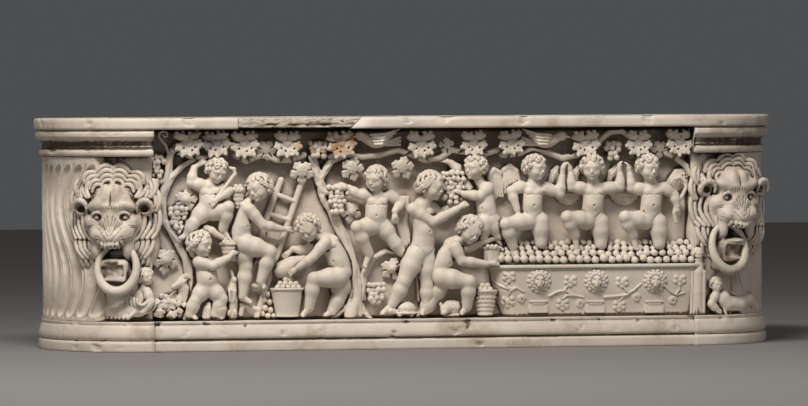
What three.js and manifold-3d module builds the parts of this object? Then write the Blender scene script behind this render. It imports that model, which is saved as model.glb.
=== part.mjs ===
// A tub-shaped marble sarcophagus: a trough with rounded ends, a lion's head holding a ring at each
// front corner, wave fluting round the ends, and a deep frieze of children gathering grapes.
// Millimetres, +Z up, front towards -Y. The origin is on the floor, in the middle of the trough's plan.
import * as THREE from "three";
import { mergeVertices } from "three/addons/utils/BufferGeometryUtils.js";
import Module from "manifold-3d";

const wasm = await Module();
wasm.setup();

// Driving dimensions of the trough
const LENGTH = 1820; // over the rim
const HEIGHT = 558; // floor to the rim's top
const FRONT_REACH = 320; // middle of the plan to the rim's front
const BACK_REACH = 300; // middle of the plan to the flat back
const END_REACH = 250; // how far each rounded end stands out beyond the straight run
const BASE_HEIGHT = 72;
const RIM_HEIGHT = 27;
const CORNICE_HEIGHT = 64;
const FLOOR_THICKNESS = 35;
const BACK_MARGIN = 34; // the ornament of the ends stops this far short of the back

// How far each face lies inside the rim's outline
const BASE_INSET = 10;
const BASE_SWELL = 8; // how far the base's hollows lie inside its outermost line
const BASE_STEP = 6; // the base is set back below the frieze
const RIM_SWELL = 4;
const CORNICE_SWELL = 18;
const FLUTE_INSET = 20;
const WALL_INSET = 50;
const PANEL_INSET = 85; // the frieze's background, at the front only
const FRONT_WALL = 65;
const END_WALL = 55;
const BACK_WALL = 75;

// The mended piece of the rim, with its bed of mortar
const MEND_LEFT = -456;
const MEND_RIGHT = -165;
const MEND_SLANT = 26; // how far its right-hand crack leans, from front to back
const MORTAR = 2;

// The frieze
const RELIEF_DEPTH = 66; // how far the carving stands out from the panel
const GAP = 0.3; // between neighbouring carvings, and behind each
const OVERRUN = 40; // how far a cutting block runs past what it cuts
const LEAF_THICKNESS = 9;
const GRAPE_RADIUS = 13.5;
const HEAP_PITCH = 39; // between the grapes heaped in the vat
const VAT_CORNER = 34;

// Fluting
const FLUTE_COUNT = 13; // round each end
const FLUTE_DEPTH = 5;
const FLUTE_SWAY = 30; // how far a flute wanders along the wall, from its foot to its top
const FLUTE_BORDER = 14; // plain band above and below the flutes
const FLUTE_LEVELS = 4;
const FLUTE_FRONT = 170; // from the straight run to the first flute
const FLUTE_EASE_SHARE = 3; // how soon the sway sets in beside the first and last flutes

// The lions' heads
const LION_OUT = 98; // from the straight run's end to the middle of a head
const LION_TURN_DEGREES = 20; // away from the front
const LION_WIDTH = 208; // over the mane
const LION_TALL = 240;
const LION_REACH = 100; // wall to nose
const LION_LEFT_DROP = 195; // the rim's underside to the middle of the mane
const LION_RIGHT_DROP = 178;
const LOCK_COUNT = 9; // of the mane
const RING_WIDTH = 112;
const RING_TALL = 124;
const RING_THICKNESS = 19;

// Facets
const END_STEPS = 12;
const LIMB_SIDES = 5;
const DOME_SHARE = 0.8; // how far a bar's pointed end stands out, of its radius
const MOST_MITRE_SHARE = 1.4; // how far a bar widens at a bend
const RING_STEPS = 16;
const ARC_STEPS = 200; // to measure along a rounded end
const SAME_POINT = 1e-3; // corners nearer than this are one
const BODY_SIDES = 7;
const BALL_FACETS = [7, 4];
const ROOT_SIDES = 4;
const BASKET_SIDES = 8;

// The frieze is set out on a drawing, seen from the left and far off. Places in its tables are the
// drawing's pixels, across and down, with a share of the relief's depth, and radii are pixels too.
const DRAWING_MIDDLE_PIXELS = [404, 203];
const DRAWN_LENGTH = 1320; // the straight run in the drawing
const DRAWN_HEIGHT = 459; // the frieze in the drawing
const DRAWN_FOOT = 72; // the frieze's foot above the floor in the drawing
const VIEW_DISTANCE = 14000;
const VIEW_LEVEL = 620;
const VIEW_TURN_DEGREES = 10.2;
const VIEW_PITCH_DEGREES = -1.125;
const VIEW_ROLL_DEGREES = -0.3;
const VIEW_SPREAD_DEGREES = 8.0985; // over the drawing's width

const RIGHT_ANGLE = Math.PI / 2;
const STRAIGHT = LENGTH - 2 * END_REACH; // the front between the rounded ends
const PANEL_Y = -(FRONT_REACH - PANEL_INSET);
const FRIEZE_TOP = HEIGHT - RIM_HEIGHT;
const FRIEZE_HEIGHT = FRIEZE_TOP - BASE_HEIGHT;
const CORNICE_BOTTOM = FRIEZE_TOP - CORNICE_HEIGHT;
const [VIEW_TURN, VIEW_PITCH, VIEW_ROLL, VIEW_SPREAD] = [
  VIEW_TURN_DEGREES, VIEW_PITCH_DEGREES, VIEW_ROLL_DEGREES, VIEW_SPREAD_DEGREES,
].map((degrees) => THREE.MathUtils.degToRad(degrees));
const FOCUS_PIXELS = DRAWING_MIDDLE_PIXELS[0] / Math.tan(VIEW_SPREAD / 2);
const PIXEL = (VIEW_DISTANCE / FOCUS_PIXELS) * (STRAIGHT / DRAWN_LENGTH);

// Outlines, as shares of the swell inwards and of the height
const BASE_OUTLINE_SHARES = [
  [0.3, 0], [0, 0.05], [0, 0.32], [0.7, 0.35], [0.1, 0.45], [0, 0.62], [0.3, 0.84], [1, 0.92], [1, 1],
];
const RIM_OUTLINE_SHARES = [[1, 0], [0.1, 0.15], [0, 0.6], [0.6, 0.92], [1, 1]];
const CORNICE_OUTLINE_SHARES = [
  [1, 0], [0.62, 0.04], [0.55, 0.22], [1, 0.34], [1, 0.45], [0.6, 0.6], [0.3, 0.66], [0, 0.82], [0.2, 1],
];

// Solids
function solid(geometry) {
  geometry.deleteAttribute("normal");
  geometry.deleteAttribute("uv");
  const merged = mergeVertices(geometry, SAME_POINT);
  const corners = merged.index.array;
  const kept = [];
  for (let i = 0; i < corners.length; i += 3) {
    const [a, b, c] = [corners[i], corners[i + 1], corners[i + 2]];
    if (a !== b && b !== c && c !== a) kept.push(a, b, c);
  }
  const vertProperties = new Float32Array(merged.attributes.position.array);
  const triVerts = new Uint32Array(kept);
  return new wasm.Manifold(new wasm.Mesh({ numProp: 3, vertProperties, triVerts }));
}

function union(solids) {
  return solids.reduce((joined, next) => joined.add(next));
}

function block(low, high) {
  const size = high.map((value, i) => value - low[i]);
  const box = new THREE.BoxGeometry(...size);
  return solid(box.translate(...low.map((value, i) => value + size[i] / 2)));
}

// A tapering bar through a run of points, with a blunt point at each end
function tube(points, radii, sides = LIMB_SIDES) {
  const steps = points.slice(1).map((point, i) => point.clone().sub(points[i]).normalize());
  const vertices = [];
  let across = new THREE.Vector3(0, 1, 0);
  if (Math.abs(steps[0].y) > Math.SQRT1_2) across = new THREE.Vector3(1, 0, 0);
  const addRing = (middle, along, radius, bend, stretch) => {
    across = across.addScaledVector(along, -across.dot(along)).normalize();
    const upright = new THREE.Vector3().crossVectors(along, across);
    for (let i = 0; i < sides; i++) {
      const turn = (i / sides) * 2 * Math.PI;
      const out = across.clone().multiplyScalar(Math.cos(turn)).addScaledVector(upright, Math.sin(turn));
      out.addScaledVector(bend, (stretch - 1) * out.dot(bend));
      vertices.push(middle.clone().addScaledVector(out, radius));
    }
  };
  points.forEach((point, i) => {
    const [before, after] = [steps[Math.max(i - 1, 0)], steps[Math.min(i, steps.length - 1)]];
    const along = before.clone().add(after).normalize();
    const bend = after.clone().sub(before).normalize();
    addRing(point, along, radii[i], bend, Math.min(MOST_MITRE_SHARE, 1 / along.dot(after)));
  });
  const [last, end] = [points.length - 1, steps.length - 1];
  vertices.push(points[0].clone().addScaledVector(steps[0], -radii[0] * DOME_SHARE));
  vertices.push(points[last].clone().addScaledVector(steps[end], radii[last] * DOME_SHARE));
  const index = [];
  for (let i = 0; i < sides; i++) {
    const next = (i + 1) % sides;
    const top = last * sides;
    for (let ring = 0; ring < last; ring++) {
      const [low, high] = [ring * sides, (ring + 1) * sides];
      index.push(low + i, low + next, high + next, low + i, high + next, high + i);
    }
    index.push(vertices.length - 2, next, i, vertices.length - 1, top + i, top + next);
  }
  const geometry = new THREE.BufferGeometry().setFromPoints(vertices);
  return solid(geometry.setIndex(index));
}

function ball(middle, [wide, deep, tall]) {
  const sphere = new THREE.SphereGeometry(1, ...BALL_FACETS);
  sphere.rotateX(RIGHT_ANGLE);
  return solid(sphere.scale(wide, deep, tall).translate(middle.x, middle.y, middle.z));
}

function lump(middle, [wide, deep, tall]) {
  const shape = new THREE.IcosahedronGeometry(1, 0);
  return solid(shape.scale(wide, deep, tall).translate(middle.x, middle.y, middle.z));
}

// A solid through a stack of level rings, each a list of [x, y, z] with as many points
function stack(rings) {
  const count = rings[0].length;
  const index = [];
  for (let level = 0; level + 1 < rings.length; level++) {
    for (let i = 0; i < count; i++) {
      const [a, b] = [level * count + i, level * count + ((i + 1) % count)];
      index.push(a, b, b + count, a, b + count, a + count);
    }
  }
  const flat = rings[0].map(([x, y]) => new THREE.Vector2(x, y));
  const top = (rings.length - 1) * count;
  for (const [a, b, c] of THREE.ShapeUtils.triangulateShape(flat, [])) {
    index.push(a, c, b, top + a, top + b, top + c);
  }
  const geometry = new THREE.BufferGeometry();
  geometry.setAttribute("position", new THREE.Float32BufferAttribute(rings.flat(2), 3));
  geometry.setIndex(index);
  return solid(geometry);
}

// The body with the largest volume, without the crumbs that a cut leaves
function largestBody(made) {
  const { vertProperties, triVerts } = made.getMesh();
  const owner = Array.from({ length: vertProperties.length / 3 }, (_, i) => i);
  const find = (i) => {
    while (owner[i] !== i) i = owner[i] = owner[owner[i]];
    return i;
  };
  for (let i = 0; i < triVerts.length; i += 3) {
    owner[find(triVerts[i + 1])] = find(triVerts[i]);
    owner[find(triVerts[i + 2])] = find(triVerts[i]);
  }
  const volumes = new Map();
  const corner = (i) => new THREE.Vector3().fromArray(vertProperties, triVerts[i] * 3);
  for (let i = 0; i < triVerts.length; i += 3) {
    const volume = corner(i).dot(corner(i + 1).cross(corner(i + 2)));
    const body = find(triVerts[i]);
    volumes.set(body, (volumes.get(body) ?? 0) + volume);
  }
  const [largest] = [...volumes].reduce((best, next) => (next[1] > best[1] ? next : best));
  const kept = [];
  for (let i = 0; i < triVerts.length; i += 3) {
    if (find(triVerts[i]) === largest) kept.push(triVerts[i], triVerts[i + 1], triVerts[i + 2]);
  }
  const geometry = new THREE.BufferGeometry();
  geometry.setAttribute("position", new THREE.BufferAttribute(new Float32Array(vertProperties), 3));
  geometry.setIndex(kept);
  return geometry;
}

const MARBLE = new THREE.MeshStandardMaterial({ color: 0xd8cbbb, roughness: 0.6, metalness: 0 });
const MEND = new THREE.MeshStandardMaterial({ color: 0xc9bba8, roughness: 0.75, metalness: 0 });
const GROUT = new THREE.MeshStandardMaterial({ color: 0x6f6a58, roughness: 0.9, metalness: 0 });
const sarcophagus = new THREE.Group();

function addPiece(name, made, material = MARBLE) {
  const mesh = new THREE.Mesh(largestBody(made), material);
  mesh.name = name;
  sarcophagus.add(mesh);
}

// The trough's outline in plan, inside the rim's by the given insets, with a recess along the straight run
function plan(z, front, end, back, recess) {
  const points = [];
  for (const side of [1, -1]) {
    for (let i = 0; i <= END_STEPS; i++) {
      const turn = (i / END_STEPS - 0.5) * Math.PI * side;
      const reach = Math.sin(turn) < 0 ? FRONT_REACH - front : BACK_REACH - back;
      const x = side * (STRAIGHT / 2 + (END_REACH - end) * Math.cos(turn));
      points.push([x, reach * Math.sin(turn), z]);
    }
  }
  if (recess > front) {
    const y = -(FRONT_REACH - recess);
    points.push([-STRAIGHT / 2, y, z], [STRAIGHT / 2, y, z]);
  }
  return points;
}

// A moulded course all round, from an outline in shares
function course(outlineShares, foot, tall, inset, swell, step) {
  const level = ([inwards, up]) => {
    const front = inset + inwards * swell;
    return plan(foot + up * tall, front, front, 0, front + step);
  };
  return stack(outlineShares.map(level));
}

function chamber() {
  const [front, end] = [PANEL_INSET + FRONT_WALL, WALL_INSET + END_WALL];
  const foot = BASE_HEIGHT + FLOOR_THICKNESS;
  return stack([foot, HEIGHT + OVERRUN].map((z) => plan(z, front, end, BACK_WALL, 0)));
}

function addTrough() {
  const base = course(BASE_OUTLINE_SHARES, 0, BASE_HEIGHT, BASE_INSET, BASE_SWELL, BASE_STEP);
  addPiece("base_plinth", base);
  const walls = [BASE_HEIGHT, FRIEZE_TOP].map((z) => plan(z, WALL_INSET, WALL_INSET, 0, PANEL_INSET));
  addPiece("trough_basin", stack(walls).subtract(chamber()));
}

// The rim, with the mended piece cut out of its front and bedded on mortar
function addRim() {
  const rim = course(RIM_OUTLINE_SHARES, FRIEZE_TOP, RIM_HEIGHT, 0, RIM_SWELL, 0).subtract(chamber());
  const back = -(FRONT_REACH - PANEL_INSET - FRONT_WALL) + OVERRUN;
  const front = -FRONT_REACH - OVERRUN;
  const cutter = (spare, foot, top) => {
    const ring = (z) => [
      [MEND_LEFT - spare, front, z],
      [MEND_RIGHT + spare, front, z],
      [MEND_RIGHT + MEND_SLANT + spare, back, z],
      [MEND_LEFT - spare, back, z],
    ];
    return stack([ring(foot), ring(top)]);
  };
  addPiece("rim_band", rim.subtract(cutter(GAP, FRIEZE_TOP - OVERRUN, HEIGHT + OVERRUN)));
  addPiece("rim_fragment", rim.intersect(cutter(0, FRIEZE_TOP + MORTAR, HEIGHT + OVERRUN)), MEND);
  const bed = rim.intersect(cutter(0, FRIEZE_TOP - OVERRUN, FRIEZE_TOP + MORTAR));
  addPiece("rim_join_mortar", bed.subtract(block(
    [-LENGTH, -FRONT_REACH - OVERRUN, 0],
    [LENGTH, PANEL_Y, HEIGHT],
  )), GROUT);
}

// The mouldings below the rim, round one end
function addCornice(side, name) {
  const outer = course(CORNICE_OUTLINE_SHARES, CORNICE_BOTTOM, CORNICE_HEIGHT, RIM_SWELL, CORNICE_SWELL, 0);
  const inset = WALL_INSET - GAP;
  const core = [CORNICE_BOTTOM - OVERRUN, HEIGHT].map((z) => plan(z, inset, inset, 0, 0));
  addPiece(name, outer.subtract(stack(core)).intersect(endBlock(side)));
}

// Everything beyond the straight run on one side, short of the back
function endBlock(side) {
  const [near, far] = [STRAIGHT / 2, LENGTH];
  const [low, high] = side > 0 ? [near, far] : [-far, -near];
  return block([low, -FRONT_REACH - OVERRUN, 0], [high, BACK_REACH - BACK_MARGIN, HEIGHT + OVERRUN]);
}

// What the later carvings leave free for a cornice
function corniceSpace(side) {
  const [near, far] = [STRAIGHT / 2 - GAP, LENGTH];
  const [low, high] = side > 0 ? [near, far] : [-far, -near];
  return block([low, -FRONT_REACH - OVERRUN, CORNICE_BOTTOM - GAP], [high, BACK_REACH, HEIGHT]);
}

// Where a rounded end's wall stands, at a distance along it from the straight run, and its outward normal
function endPoint(along, inset) {
  let turn = -RIGHT_ANGLE;
  let walked = 0;
  const spot = (angle, d) => {
    const reach = angle < 0 ? FRONT_REACH - d : BACK_REACH;
    return new THREE.Vector2((END_REACH - d) * Math.cos(angle), reach * Math.sin(angle));
  };
  while (walked < along && turn < RIGHT_ANGLE) {
    const next = turn + Math.PI / ARC_STEPS;
    walked += spot(next, 0).distanceTo(spot(turn, 0));
    turn = next;
  }
  const place = spot(turn, inset);
  return [STRAIGHT / 2 + place.x, place.y];
}

function endLength() {
  let along = 0;
  while (endPoint(along, 0)[1] < BACK_REACH - BACK_MARGIN) along += FLUTE_DEPTH;
  return along;
}

// The fluted facing of one end: each flute is a hollow between two ridges that climb in a wave
function flutes(side) {
  const [foot, top] = [BASE_HEIGHT + GAP, CORNICE_BOTTOM - GAP];
  const pitch = (endLength() - FLUTE_FRONT) / FLUTE_COUNT;
  const rings = [];
  const addRing = (z, sway, depth) => {
    const outer = [];
    const inner = [];
    for (let i = 0; i <= FLUTE_COUNT * 2; i++) {
      const held = Math.sin((i / (FLUTE_COUNT * 2)) * Math.PI);
      const along = FLUTE_FRONT + (i * pitch) / 2 + sway * Math.min(1, held * FLUTE_EASE_SHARE);
      const [x, y] = endPoint(along, FLUTE_INSET + (i % 2) * depth);
      const [wallX, wallY] = endPoint(along, WALL_INSET - GAP);
      outer.push([x * side, y, z]);
      inner.unshift([wallX * side, wallY, z]);
    }
    const points = [...outer, ...inner];
    rings.push(side > 0 ? points : points.reverse());
  };
  addRing(foot, -FLUTE_SWAY / 2, 0);
  for (let level = 0; level < FLUTE_LEVELS; level++) {
    const share = level / (FLUTE_LEVELS - 1);
    const z = foot + FLUTE_BORDER + share * (top - foot - 2 * FLUTE_BORDER);
    addRing(z, (-FLUTE_SWAY / 2) * Math.cos(share * Math.PI), FLUTE_DEPTH);
  }
  addRing(top, FLUTE_SWAY / 2, 0);
  return stack(rings);
}

// The lions. Places and half sizes across, outwards and up are shares of half a head's width, its reach
// and half its height, counted from the middle of the mane on the wall.
const LION_LUMP_SHARES = {
  mane: [[0, 0.12, 0], [0.86, 0.34, 0.88]],
  skull: [[0, 0.38, 0.05], [0.62, 0.4, 0.66]],
  left_brow: [[-0.17, 0.66, 0.26], [0.21, 0.18, 0.24]],
  right_brow: [[0.17, 0.66, 0.26], [0.21, 0.18, 0.24]],
  left_cheek: [[-0.36, 0.5, -0.3], [0.26, 0.24, 0.3]],
  right_cheek: [[0.36, 0.5, -0.3], [0.26, 0.24, 0.3]],
  muzzle: [[0, 0.68, -0.46], [0.38, 0.28, 0.24]],
  nose: [[0, 0.84, -0.28], [0.19, 0.16, 0.32]],
  jaw: [[0, 0.42, -1.08], [0.3, 0.32, 0.22]],
  left_jowl: [[-0.28, 0.34, -0.84], [0.13, 0.32, 0.36]],
  right_jowl: [[0.28, 0.34, -0.84], [0.13, 0.32, 0.36]],
};
const LION_HOLLOW_SHARES = {
  mouth: [[0, 0.8, -0.82], [0.18, 0.46, 0.15]],
  left_eye: [[-0.27, 0.78, -0.04], [0.08, 0.12, 0.07]],
  right_eye: [[0.27, 0.78, -0.04], [0.08, 0.12, 0.07]],
};
const LION_BIG_SHARE = 0.5; // the wider lumps are rounder
const LOCK_RING_SHARE = 0.72;
const LOCK_RADIUS_SHARE = 0.28;
const LOCK_OUT_SHARE = 0.3;
const RING_OUT_SHARE = 0.62;
const RING_DROP_SHARE = 1.1;

function lionFrame(side, level) {
  const across = LION_OUT / (END_REACH - WALL_INSET);
  const y = -(FRONT_REACH - WALL_INSET) * Math.sqrt(1 - across * across);
  const turned = new THREE.Matrix4().makeRotationZ(side * THREE.MathUtils.degToRad(LION_TURN_DEGREES));
  return turned.setPosition(side * (STRAIGHT / 2 + LION_OUT), y, level);
}

function moved(made, matrix) {
  const { vertProperties, triVerts } = made.getMesh();
  const geometry = new THREE.BufferGeometry();
  geometry.setAttribute("position", new THREE.BufferAttribute(new Float32Array(vertProperties), 3));
  geometry.setIndex([...triVerts]);
  return solid(geometry.applyMatrix4(matrix));
}

function lionPoint([across, outwards, up]) {
  return new THREE.Vector3((across * LION_WIDTH) / 2, -outwards * LION_REACH, (up * LION_TALL) / 2);
}

function lionLump([middle, [wide, deep, tall]], grow) {
  const half = [(wide * LION_WIDTH) / 2 + grow, deep * LION_REACH + grow, (tall * LION_TALL) / 2 + grow];
  return wide > LION_BIG_SHARE ? ball(lionPoint(middle), half) : lump(lionPoint(middle), half);
}

function lionHead(side, level, grow) {
  const parts = Object.values(LION_LUMP_SHARES).map((lumpShares) => lionLump(lumpShares, grow));
  for (let i = 0; i < LOCK_COUNT; i++) {
    const turn = ((i + 0.5) / LOCK_COUNT) * 2 * Math.PI;
    const [across, up] = [Math.cos(turn) * LOCK_RING_SHARE, Math.sin(turn) * LOCK_RING_SHARE];
    const size = (LOCK_RADIUS_SHARE * LION_WIDTH) / 2 + grow;
    parts.push(lump(lionPoint([across, LOCK_OUT_SHARE, up]), [size, size, size]));
  }
  const hollows = Object.values(LION_HOLLOW_SHARES).map((lumpShares) => lionLump(lumpShares, -grow));
  return moved(union(parts).subtract(union(hollows)), lionFrame(side, level));
}

function lionRing(side, level, grow) {
  const radius = RING_THICKNESS / 2;
  const [wide, tall] = [RING_WIDTH - RING_THICKNESS, RING_TALL - RING_THICKNESS];
  const torus = new THREE.TorusGeometry(wide / 2, radius + grow, LIMB_SIDES, RING_STEPS);
  torus.rotateX(RIGHT_ANGLE).scale(1, 1, tall / wide);
  const middle = lionPoint([0, RING_OUT_SHARE, -RING_DROP_SHARE]);
  return moved(solid(torus.translate(middle.x, middle.y, middle.z)), lionFrame(side, level));
}

// The drawing's line of sight through a pixel, met with the plane at a share of the relief's depth
function place([across, down, share]) {
  const [middleAcross, middleDown] = DRAWING_MIDDLE_PIXELS;
  const sight = new THREE.Vector3(across - middleAcross, FOCUS_PIXELS, middleDown - down);
  sight.applyAxisAngle(new THREE.Vector3(0, 1, 0), -VIEW_ROLL);
  sight.applyAxisAngle(new THREE.Vector3(1, 0, 0), VIEW_PITCH);
  sight.applyAxisAngle(new THREE.Vector3(0, 0, 1), -VIEW_TURN);
  const eye = [-VIEW_DISTANCE * Math.sin(VIEW_TURN), -VIEW_DISTANCE * Math.cos(VIEW_TURN), VIEW_LEVEL];
  const y = PANEL_Y - share * RELIEF_DEPTH;
  const reach = (y - eye[1]) / sight.y;
  const x = (eye[0] + reach * sight.x) * (STRAIGHT / DRAWN_LENGTH);
  const z = eye[2] + reach * sight.z - DRAWN_FOOT;
  return new THREE.Vector3(x, y, BASE_HEIGHT + z * (FRIEZE_HEIGHT / DRAWN_HEIGHT));
}

// The children: a head, a trunk from the shoulders down, arms and legs from shoulder and hip, and what
// each one carries as part of its own carving.
const FIGURE_PIXELS = {
  vintager_on_vine: {
    head: [217, 171, 0.62, 12],
    trunk: [[208, 190, 0.5, 10.5], [207, 202, 0.5, 10], [208, 211, 0.45, 10]],
    limbs: [
      [[200, 184, 0.5, 5], [191, 183, 0.5, 4.5], [195, 165, 0.45, 4], [203, 162, 0.45, 4]],
      [[222, 188, 0.5, 5], [229, 191, 0.6, 4.5], [216, 200, 0.8, 4]],
      [[204, 211, 0.5, 7], [194, 224, 0.6, 6], [188, 234, 0.45, 4.5], [182, 238, 0.5, 4]],
      [[214, 213, 0.5, 7], [228, 207, 0.75, 6], [222, 231, 0.5, 4.5], [227, 237, 0.55, 4]],
      [[216, 200, 0.85, 2.5], [231, 180, 0.8, 2.2], [236, 171, 0.8, 2.2], [231, 168, 0.8, 2]],
    ],
  },
  vintager_on_ladder: {
    head: [259, 188, 0.65, 14],
    trunk: [[247, 208, 0.5, 9.5], [242, 224, 0.5, 11], [242, 240, 0.45, 11.5]],
    limbs: [
      [[248, 208, 0.8, 5.5], [262, 225, 0.8, 5], [283, 229, 0.7, 4.5], [289, 229, 0.65, 4]],
      [[246, 243, 0.65, 8], [269, 252, 0.7, 7], [261, 281, 0.65, 5], [263, 287, 0.7, 4.5]],
      [[243, 248, 0.35, 8], [245, 265, 0.35, 7], [242, 296, 0.4, 5], [249, 302, 0.5, 4.5]],
    ],
  },
  vintager_with_shoulder_basket: {
    head: [200, 243, 0.65, 12.5],
    trunk: [[205, 266, 0.5, 10], [206, 279, 0.5, 10.5], [208, 288, 0.45, 9.5]],
    limbs: [
      [[199, 261, 0.75, 5], [213, 265, 0.85, 4.5], [228, 258, 0.8, 4], [234, 253, 0.75, 4]],
      [
        [196, 258, 0.4, 4.5], [192, 240, 0.45, 4], [199, 229, 0.5, 4],
        [213, 229, 0.5, 4], [226, 238, 0.55, 4],
      ],
      [[203, 290, 0.5, 7], [194, 301, 0.55, 5.5], [190, 315, 0.5, 4.5], [194, 318, 0.6, 4]],
      [[214, 291, 0.5, 7], [221, 299, 0.55, 5.5], [215, 315, 0.5, 4.5], [220, 318, 0.6, 4]],
    ],
  },
  vintager_filling_basket: {
    head: [309, 229, 0.7, 13],
    trunk: [[330, 246, 0.5, 10], [337, 259, 0.5, 12], [340, 274, 0.45, 12]],
    limbs: [
      [[324, 242, 0.8, 5.5], [313, 257, 0.85, 5], [299, 267, 0.8, 4.5], [293, 270, 0.75, 4]],
      [[316, 244, 0.35, 5], [304, 252, 0.3, 4.5], [292, 249, 0.3, 4]],
      [[338, 277, 0.65, 9], [314, 280, 0.75, 7.5], [309, 308, 0.65, 5.5], [304, 314, 0.7, 4.5]],
      [[339, 284, 0.35, 8], [338, 294, 0.35, 6.5], [331, 311, 0.4, 5], [326, 315, 0.45, 4.5]],
    ],
  },
  vintager_with_grape_basket: {
    head: [376, 179, 0.62, 13.5],
    trunk: [[376, 201, 0.5, 11], [376, 213, 0.5, 10.5], [376, 225, 0.45, 11]],
    limbs: [
      [[364, 194, 0.5, 5], [356, 193, 0.5, 4.5], [350, 189, 0.5, 4], [343, 186, 0.5, 4]],
      [[389, 194, 0.5, 5], [401, 203, 0.5, 4.5], [394, 211, 0.7, 4], [396, 217, 0.7, 4]],
      [[371, 227, 0.5, 7.5], [357, 228, 0.75, 7], [369, 254, 0.5, 5], [365, 267, 0.55, 4.5]],
      [[383, 227, 0.45, 7.5], [392, 239, 0.5, 6.5], [401, 251, 0.45, 5], [402, 256, 0.4, 4]],
    ],
  },
  standing_youth: {
    head: [430, 187, 0.65, 15],
    trunk: [[419, 212, 0.5, 11], [423, 228, 0.5, 11.5], [424, 242, 0.5, 12.5], [420, 254, 0.45, 12]],
    limbs: [
      [[413, 208, 0.75, 5.5], [433, 222, 0.85, 5], [457, 209, 0.8, 4.5], [464, 205, 0.75, 4]],
      [[428, 206, 0.3, 5], [440, 214, 0.3, 4.5], [452, 207, 0.4, 4]],
      [[414, 256, 0.55, 9.5], [403, 281, 0.6, 8], [392, 304, 0.5, 6], [383, 312, 0.55, 5]],
      [[426, 261, 0.4, 9.5], [427, 285, 0.45, 8], [427, 304, 0.45, 6], [423, 312, 0.55, 5]],
    ],
  },
  winged_vintager: {
    head: [475, 168, 0.55, 13],
    trunk: [[481, 194, 0.45, 9.5], [485, 208, 0.45, 11], [487, 222, 0.4, 10]],
    limbs: [
      [[488, 187, 0.6, 5], [479, 196, 0.7, 4.5], [463, 194, 0.7, 4], [456, 190, 0.65, 4]],
      [[468, 187, 0.35, 4.5], [461, 171, 0.3, 4], [449, 163, 0.3, 4]],
      [[484, 224, 0.45, 8], [480, 238, 0.35, 6]],
      [[492, 222, 0.4, 8], [498, 236, 0.35, 6]],
      [[486, 188, 0.2, 4.5], [496, 175, 0.2, 5], [498, 190, 0.2, 4.5]],
    ],
  },
  vintager_with_hand_basket: {
    head: [470, 230, 0.7, 14],
    trunk: [[450, 249, 0.5, 10], [442, 262, 0.5, 12], [439, 274, 0.45, 12]],
    limbs: [
      [[455, 246, 0.8, 5.5], [462, 261, 0.85, 5], [486, 264, 0.8, 4.5], [493, 263, 0.75, 4]],
      [[466, 246, 0.4, 5], [480, 243, 0.35, 4.5], [493, 238, 0.35, 4], [500, 242, 0.35, 4]],
      [[441, 277, 0.65, 9], [469, 283, 0.75, 8], [467, 307, 0.65, 6], [463, 313, 0.7, 5]],
      [[439, 284, 0.35, 9], [429, 303, 0.35, 6.5], [424, 312, 0.4, 5]],
    ],
  },
  treader_left: {
    head: [536, 168, 0.62, 13],
    trunk: [[533, 191, 0.5, 10.5], [532, 203, 0.5, 9.5], [532, 214, 0.45, 10.5]],
    limbs: [
      [[521, 186, 0.5, 5], [511, 191, 0.5, 4.5], [519, 216, 0.6, 4]],
      [[546, 187, 0.5, 5], [560, 194, 0.5, 4.5], [562, 178, 0.5, 4], [563, 166, 0.5, 4]],
      [[528, 221, 0.5, 7.5], [506, 224, 0.75, 7], [513, 246, 0.5, 5.5], [513, 258, 0.5, 5]],
      [[540, 221, 0.45, 7.5], [541, 243, 0.45, 7], [541, 256, 0.45, 5.5]],
      [[520, 188, 0.2, 4.5], [509, 166, 0.2, 5], [508, 190, 0.2, 4.5]],
    ],
  },
  treader_middle: {
    head: [592, 168, 0.62, 14],
    trunk: [[595, 191, 0.5, 10.5], [594, 203, 0.5, 10], [592, 214, 0.45, 11]],
    limbs: [
      [[582, 187, 0.5, 5], [571, 186, 0.5, 4.5], [571, 175, 0.5, 4], [570, 165, 0.5, 4]],
      [[608, 187, 0.5, 5], [620, 186, 0.5, 4.5], [620, 175, 0.5, 4], [619, 165, 0.5, 4]],
      [[587, 221, 0.5, 7.5], [566, 217, 0.75, 7], [575, 235, 0.55, 5.5], [577, 250, 0.5, 5]],
      [[600, 222, 0.45, 7.5], [601, 244, 0.45, 7], [601, 256, 0.45, 5.5]],
    ],
  },
  treader_right: {
    head: [647, 168, 0.62, 14],
    trunk: [[652, 191, 0.5, 10.5], [650, 203, 0.5, 10], [650, 214, 0.45, 11]],
    limbs: [
      [[640, 188, 0.5, 5], [630, 187, 0.5, 4.5], [630, 175, 0.5, 4], [629, 165, 0.5, 4]],
      [[664, 187, 0.5, 5], [674, 195, 0.5, 4.5], [676, 214, 0.55, 4]],
      [[645, 221, 0.5, 7.5], [624, 217, 0.75, 7], [633, 235, 0.55, 5.5], [636, 249, 0.5, 5]],
      [[658, 222, 0.45, 7.5], [659, 244, 0.45, 7], [659, 256, 0.45, 5.5]],
      [[676, 214, 0.55, 2.5], [685, 187, 0.5, 2.5], [681, 179, 0.5, 2.5], [673, 179, 0.5, 2.5]],
    ],
  },
  reclining_figure_left: {
    head: [146, 276, 0.72, 8.5],
    trunk: [[143, 292, 0.62, 7], [139, 304, 0.6, 8.5]],
    limbs: [
      [[137, 310, 0.6, 7.5], [118, 312, 0.25, 6], [101, 311, -0.4, 4.5]],
      [[147, 292, 0.8, 4.5], [151, 302, 0.8, 4], [144, 312, 0.8, 4]],
    ],
  },
  reclining_figure_right: {
    head: [716, 284, 0.5, 7.5],
    trunk: [[722, 297, 0.35, 8], [733, 303, 0.1, 9]],
    limbs: [
      [[735, 304, 0.1, 8], [745, 298, -0.3, 6], [752, 305, -0.7, 5]],
      [[716, 296, 0.6, 4.5], [711, 304, 0.65, 4], [718, 311, 0.55, 4]],
    ],
  },
};

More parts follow.
